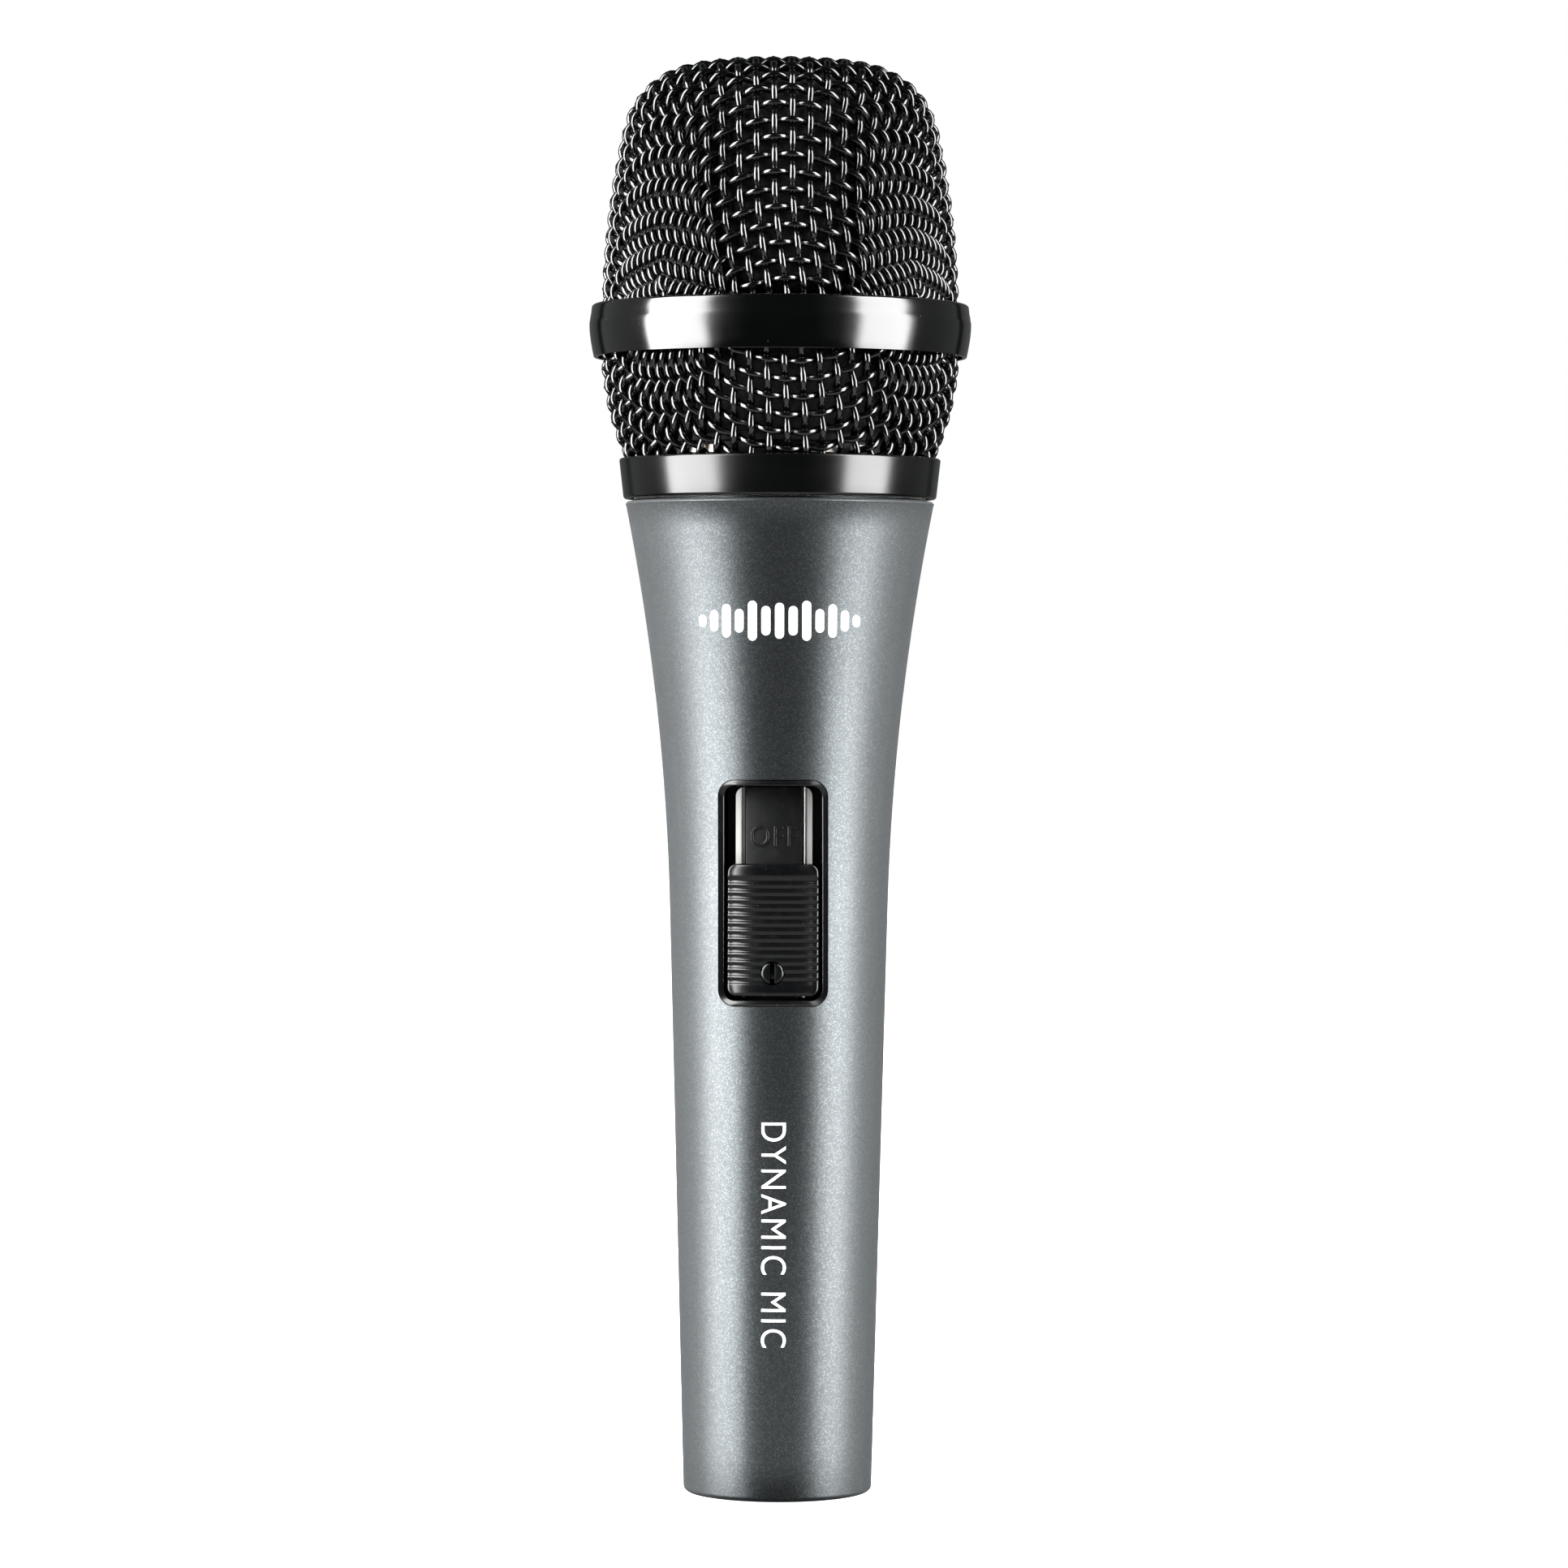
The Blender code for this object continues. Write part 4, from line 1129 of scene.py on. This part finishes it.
def build_painted_glints():
    """Painted highlights: short pale strips round the inside of the collar, where the lower cloth meets it.
    """
    # painted highlight: the pale strips stand in for the shine of the ring inside the collar, set only at
    # the angles where it would shine
    pale = grained_finish("painted_glint_colour", (0.95, 0.84, 0.76), 0.55, 900, 0.08)
    glint_section = ((18.35, 0, 130.3), (18.55, 0, 130.25), (18.6, 0, 131.15), (18.4, 0, 131.1))
    bm = bmesh.new()
    for start, end in ((-33.6, -22.2), (15.3, 27.3), (31.6, 38.0)):
        ring = [bm.verts.new(point) for point in glint_section]
        face = bm.faces.new(ring)
        turn = Matrix.Rotation(math.radians(start - 90), 3, "Z")
        bmesh.ops.rotate(bm, cent=(0, 0, 0), matrix=turn, verts=ring)
        swept = math.radians(end - start)
        bmesh.ops.spin(bm, geom=[face], cent=(0, 0, 0), axis=(0, 0, 1), angle=swept, steps=10)
    bmesh.ops.recalc_face_normals(bm, faces=bm.faces)
    belong(mesh_object("painted_glint_strips", bm), "grille_head", pale)


def foam_shape(outline, sides, rough):
    """A turned foam piece with an uneven skin."""
    bm = turned_shape(outline, sides)
    bmesh.ops.subdivide_edges(bm, edges=bm.edges[:], cuts=1, use_grid_fill=True)
    bmesh.ops.recalc_face_normals(bm, faces=bm.faces)
    bm.normal_update()
    for vert in bm.verts:
        vert.co += vert.normal * (rough * (noise.noise(vert.co * 0.9) - 0.4))
    return bm


def build_foam(colours):
    finish = foam_finish(colours)
    skin = 1.9
    depth = 3.6
    outer = dome_surface(skin).profile
    inner = dome_surface(skin + depth).profile
    low = node_low("foam_cap")[2]
    cap = [tuple(row[:2]) for row in outer[::30] if row[1] > low]
    lining = [tuple(row[:2]) for row in inner[::30] if row[1] > low]
    cap[0] = (0.0, cap[0][1])
    lining[0] = (0.0, lining[0][1])
    obj = mesh_object("foam_lining", foam_shape(cap + list(reversed(lining)), 96, 0.25), 180)
    belong(obj, "grille_head", finish, ("foam_cap",))
    high = node_high("foam_band")[2]
    band = [(16.6, 132.6), (18.0, 132.6), (19.0, 135.2), (19.6, 139.0), (19.7, 142.5)]
    band += [(19.4, high), (16.6, high)]
    obj = mesh_object("foam_sleeve", foam_shape(band, 96, 0.2), 180)
    belong(obj, "grille_head", finish, ("foam_band",))
    low, high = node_low("neck_seal"), node_high("neck_seal")
    ring = [(3.2, low[2]), (high[0], low[2]), (high[0], high[2]), (3.2, high[2])]
    obj = mesh_object("neck_foam", foam_shape(ring, 64, 0.0), 180)
    belong(obj, "handle", finish, ("neck_seal",))


# ---- pieces inside -----------------------------------------------------------------------------


def dress(names, finish):
    """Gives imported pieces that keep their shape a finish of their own."""
    for name in names:
        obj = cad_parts[name]
        obj.data.materials.clear()
        obj.data.materials.append(finish)


def build_inside(colours):
    plastic = moulded_finish(colours, "capsule_plastic", 0.4)
    dress(("capsule_housing", "capsule_front_cap", "rear_chamber", "magnet_carrier"), plastic)
    dress(("slide_carriage",), plastic)
    steel = brushed_finish("turned_steel", (0.3, 0.3, 0.31), 0.34, ROUND_AXIS, 1200)
    dress(("yoke_cup", "top_plate", "joining_hoop", "bracket_screw_lower", "bracket_screw_upper"), steel)
    dress(("magnet",), brushed_finish("magnet_plate", (0.62, 0.61, 0.59), 0.25))
    brass = brushed_finish("turned_brass", (0.72, 0.5, 0.25), 0.33, ROUND_AXIS, 1200)
    dress(("diaphragm_ring", "spacer_lower", "spacer_upper"), brass)
    # painted shade: the thread insert is coloured near-black so that the inside of the collar stays dark
    dress(("thread_insert",), brushed_finish("insert_painted_shade", (0.02, 0.02, 0.021), 0.45))
    dress(("solder_lug_hot", "solder_lug_cold"), brass)
    dress(("contact_wiper", "ground_tab"), brushed_finish("spring_bronze", (0.6, 0.42, 0.22), 0.3))
    dress(("terminal_board",), grained_finish("glass_fibre_board", (0.02, 0.16, 0.06), 0.45))
    # painted shade: the switch board is coloured near-black so that the gaps beside the rails stay dark
    dress(("switch_board",), grained_finish("switch_board_painted_shade", (0.006, 0.006, 0.0065), 0.5))
    dress(("voice_coil",), brushed_finish("wound_copper", (0.72, 0.35, 0.2), 0.35, (1.0, 1.0, 40.0), 900))
    dress(("diaphragm",), grained_finish("cone_film", (0.6, 0.62, 0.6), 0.22, 600, 0.01))
    dress(("felt_ring",), grained_finish("grey_felt", (0.35, 0.33, 0.3), 0.95, 2600, 0.2))
    dress(("capsule_screen",), grained_finish("screen_cloth", (0.02, 0.02, 0.022), 0.9, 3200, 0.1))
    dress(("shock_mount",), grained_finish("soft_rubber", (0.018, 0.018, 0.019), 0.72, 1500, 0.03))
    dress(("collar_washer",), grained_finish("white_nylon", (0.78, 0.78, 0.74), 0.48))
    red = grained_finish("red_insulation", (0.5, 0.03, 0.03), 0.42, 1400, 0.01)
    dress(("capsule_wire_hot", "output_wire_hot"), red)
    dress(("capsule_wire_cold",), grained_finish("black_insulation", (0.012, 0.012, 0.013), 0.42))
    dress(("output_wire_cold",), grained_finish("white_insulation", (0.7, 0.7, 0.68), 0.45))
    dress(("output_wire_ground",), brushed_finish("tinned_wire", (0.55, 0.55, 0.56), 0.3))


# ---- stage -------------------------------------------------------------------------------------


CAMERA_TURN = math.radians(3.4)
CAMERA_DISTANCE = 0.7208
CAMERA_HEIGHT = 0.103
CAMERA_LENS = 131.4
CAMERA_TILT = math.radians(-1.105)
CAMERA_YAW = math.radians(-0.049)
CAMERA_ROLL = math.radians(0.15)


def softbox(name, turn, width, radiance, fade=None, distance=1.1, height=1.7, middle=0.53):
    """A tall soft light that faces the microphone, at an angle in degrees from the camera.

    Sizes are in metres. A fade gives its brightness across its width, as places and levels."""
    light = bpy.data.lights.new(name, "AREA")
    light.shape = "RECTANGLE"
    light.size = width
    light.size_y = height
    light.energy = radiance * math.pi * width * height
    if fade:
        light.use_nodes = True
        tree = light.node_tree
        place = tree.nodes.new("ShaderNodeNewGeometry")
        split = tree.nodes.new("ShaderNodeSeparateXYZ")
        ramp = tree.nodes.new("ShaderNodeValToRGB")
        set_stops(ramp.color_ramp, fade)
        tree.links.new(place.outputs["Parametric"], split.inputs["Vector"])
        tree.links.new(split.outputs["X"], ramp.inputs["Fac"])
        tree.links.new(ramp.outputs["Color"], tree.nodes["Emission"].inputs["Strength"])
    obj = link(bpy.data.objects.new(name, light))
    angle = CAMERA_TURN + math.radians(turn)
    obj.location = (distance * math.sin(angle), -distance * math.cos(angle), middle)
    aim = Vector((0, 0, middle)) - obj.location
    obj.rotation_euler = aim.to_track_quat("-Z", "Y").to_euler()
    obj.visible_camera = False
    return obj


def build_floor():
    """A pale floor that shines by itself, so that it neither darkens nor lights the microphone."""
    floor_shape = bmesh.new()
    bmesh.ops.create_grid(floor_shape, x_segments=1, y_segments=1, size=30.0)
    mesh = bpy.data.meshes.new("floor")
    floor_shape.to_mesh(mesh)
    floor_shape.free()
    mesh.transform(Matrix.Translation((0, 0, -0.05 * MM)))
    floor = link(bpy.data.objects.new("floor", mesh))
    paper = Recipe("pale_paper", (0.8, 0.8, 0.8), 0.9)
    paper.feed("Emission Color", (1.0, 1.0, 1.0, 1.0))
    paper.feed("Emission Strength", 1.2)
    mesh.materials.append(paper.material)
    floor.visible_glossy = False
    floor.visible_diffuse = False


def build_lights():
    """Two tall soft lights with a dark gap between them, and weak ones that fill the rest."""
    left_fade = ((0.0, 1.0), (0.59, 1.0), (0.67, 0.06), (0.78, 0.008), (1.0, 0.0))
    right_fade = ((0.0, 0.0), (0.26, 0.008), (0.375, 0.06), (0.455, 1.0), (0.88, 1.0), (0.96, 0.1))
    softbox("left_light", -55.0, 1.45, 21.0, left_fade, middle=0.61)
    softbox("right_light", 55.0, 1.45, 18.8, right_fade, middle=0.61)
    softbox("left_wall", -112.0, 1.0, 0.28)
    softbox("right_wall", 112.0, 1.0, 0.17)
    softbox("back_light", 180.0, 3.4, 0.13, distance=2.4, height=3.2, middle=0.6)
    bounce = softbox("table_bounce", 0.0, 0.4, 0.9, distance=0.12, height=0.2, middle=0.001)
    bounce.rotation_euler = (math.radians(180), 0, CAMERA_TURN)


def build_world():
    """White behind the microphone, and a dim room round it."""
    world = bpy.data.worlds.new("studio")
    bpy.context.scene.world = world
    world.use_nodes = True
    tree = world.node_tree
    tree.nodes.clear()
    rays = tree.nodes.new("ShaderNodeLightPath")
    seen = tree.nodes.new("ShaderNodeBackground")
    seen.inputs["Color"].default_value = (1.0, 1.0, 1.0, 1.0)
    around = tree.nodes.new("ShaderNodeBackground")
    around.inputs["Color"].default_value = (0.018, 0.0215, 0.0225, 1.0)
    mix = tree.nodes.new("ShaderNodeMixShader")
    out = tree.nodes.new("ShaderNodeOutputWorld")
    tree.links.new(rays.outputs["Is Camera Ray"], mix.inputs["Fac"])
    tree.links.new(around.outputs[0], mix.inputs[1])
    tree.links.new(seen.outputs[0], mix.inputs[2])
    tree.links.new(mix.outputs[0], out.inputs["Surface"])


def build_camera():
    camera = bpy.data.cameras.new("camera")
    camera.lens = CAMERA_LENS
    camera.sensor_width = 36.0
    camera.clip_start = 0.01
    obj = link(bpy.data.objects.new("camera", camera))
    reach = Vector((math.sin(CAMERA_TURN), -math.cos(CAMERA_TURN), 0)) * CAMERA_DISTANCE
    obj.location = reach + Vector((0, 0, CAMERA_HEIGHT))
    heading = Matrix.Rotation(CAMERA_TURN + CAMERA_YAW, 4, "Z")
    tilt = Matrix.Rotation(math.radians(90) + CAMERA_TILT, 4, "X")
    roll = Matrix.Rotation(CAMERA_ROLL, 4, "Z")
    obj.rotation_euler = (heading @ tilt @ roll).to_euler()
    scene = bpy.context.scene
    scene.camera = obj
    scene.view_settings.view_transform = "Standard"


def build_stage():
    build_floor()
    build_lights()
    build_world()
    build_camera()


# ---- operators and panel -----------------------------------------------------------------------


def sizes_of(context):
    return context.scene.microphone_sizes


def colours_of(context):
    return context.scene.microphone_colours


class MICROPHONE_OT_handle(bpy.types.Operator):
    """Turn the handle, cut its window and print its marks"""

    bl_idname = "microphone.handle"
    bl_label = "Handle"

    def execute(self, context):
        build_handle(colours_of(context))
        build_marks(sizes_of(context), colours_of(context))
        return {"FINISHED"}


class MICROPHONE_OT_connector(bpy.types.Operator):
    """Turn the socket's insert, its pins and the screw that holds it"""

    bl_idname = "microphone.connector"
    bl_label = "Connector"

    def execute(self, context):
        build_connector(colours_of(context))
        build_set_screw()
        return {"FINISHED"}


class MICROPHONE_OT_switch(bpy.types.Operator):
    """Make the switch's frame, rails, slider and lock screw"""

    bl_idname = "microphone.switch"
    bl_label = "Switch"

    def execute(self, context):
        build_bezel(colours_of(context))
        build_rails(colours_of(context))
        build_strip(colours_of(context))
        build_slider(sizes_of(context), colours_of(context))
        build_lock_screw()
        return {"FINISHED"}


class MICROPHONE_OT_rings(bpy.types.Operator):
    """Turn the wide ring and the collar"""

    bl_idname = "microphone.rings"
    bl_label = "Rings"

    def execute(self, context):
        build_band(colours_of(context))
        build_collar(colours_of(context))
        build_painted_glints()
        return {"FINISHED"}


class MICROPHONE_OT_cloth(bpy.types.Operator):
    """Draw the two sheets of woven wire over their forms"""

    bl_idname = "microphone.cloth"
    bl_label = "Woven wire"

    def execute(self, context):
        build_cloth(sizes_of(context), colours_of(context))
        return {"FINISHED"}


class MICROPHONE_OT_foam(bpy.types.Operator):
    """Make the foam behind the wire and in the neck"""

    bl_idname = "microphone.foam"
    bl_label = "Foam"

    def execute(self, context):
        build_foam(colours_of(context))
        return {"FINISHED"}


class MICROPHONE_OT_inside(bpy.types.Operator):
    """Finish the capsule, the switch's works and the wiring"""

    bl_idname = "microphone.inside"
    bl_label = "Inside"

    def execute(self, context):
        build_inside(colours_of(context))
        return {"FINISHED"}


class MICROPHONE_OT_stage(bpy.types.Operator):
    """Set the floor, the lights and the camera"""

    bl_idname = "microphone.stage"
    bl_label = "Stage"

    def execute(self, context):
        build_stage()
        return {"FINISHED"}


OPERATORS = (
    MICROPHONE_OT_handle,
    MICROPHONE_OT_connector,
    MICROPHONE_OT_switch,
    MICROPHONE_OT_rings,
    MICROPHONE_OT_cloth,
    MICROPHONE_OT_foam,
    MICROPHONE_OT_inside,
    MICROPHONE_OT_stage,
)


class MICROPHONE_PT_panel(bpy.types.Panel):
    bl_idname = "MICROPHONE_PT_panel"
    bl_label = "Microphone"
    bl_space_type = "VIEW_3D"
    bl_region_type = "UI"
    bl_category = "Microphone"

    def draw(self, context):
        column = self.layout.column(align=True)
        for operator in OPERATORS:
            column.operator(operator.bl_idname)
        for group in (sizes_of(context), colours_of(context)):
            for name in group.__annotations__:
                self.layout.prop(group, name)


CLASSES = (MicrophoneSizes, MicrophoneColours, *OPERATORS, MICROPHONE_PT_panel)


def register():
    for cls in CLASSES:
        bpy.utils.register_class(cls)
    bpy.types.Scene.microphone_sizes = bpy.props.PointerProperty(type=MicrophoneSizes)
    bpy.types.Scene.microphone_colours = bpy.props.PointerProperty(type=MicrophoneColours)


def unregister():
    del bpy.types.Scene.microphone_colours
    del bpy.types.Scene.microphone_sizes
    for cls in reversed(CLASSES):
        bpy.utils.unregister_class(cls)


def main():
    register()
    bpy.ops.microphone.handle()
    bpy.ops.microphone.connector()
    bpy.ops.microphone.switch()
    bpy.ops.microphone.rings()
    bpy.ops.microphone.cloth()
    bpy.ops.microphone.foam()
    bpy.ops.microphone.inside()
    bpy.ops.microphone.stage()


if __name__ == "__main__":
    main()
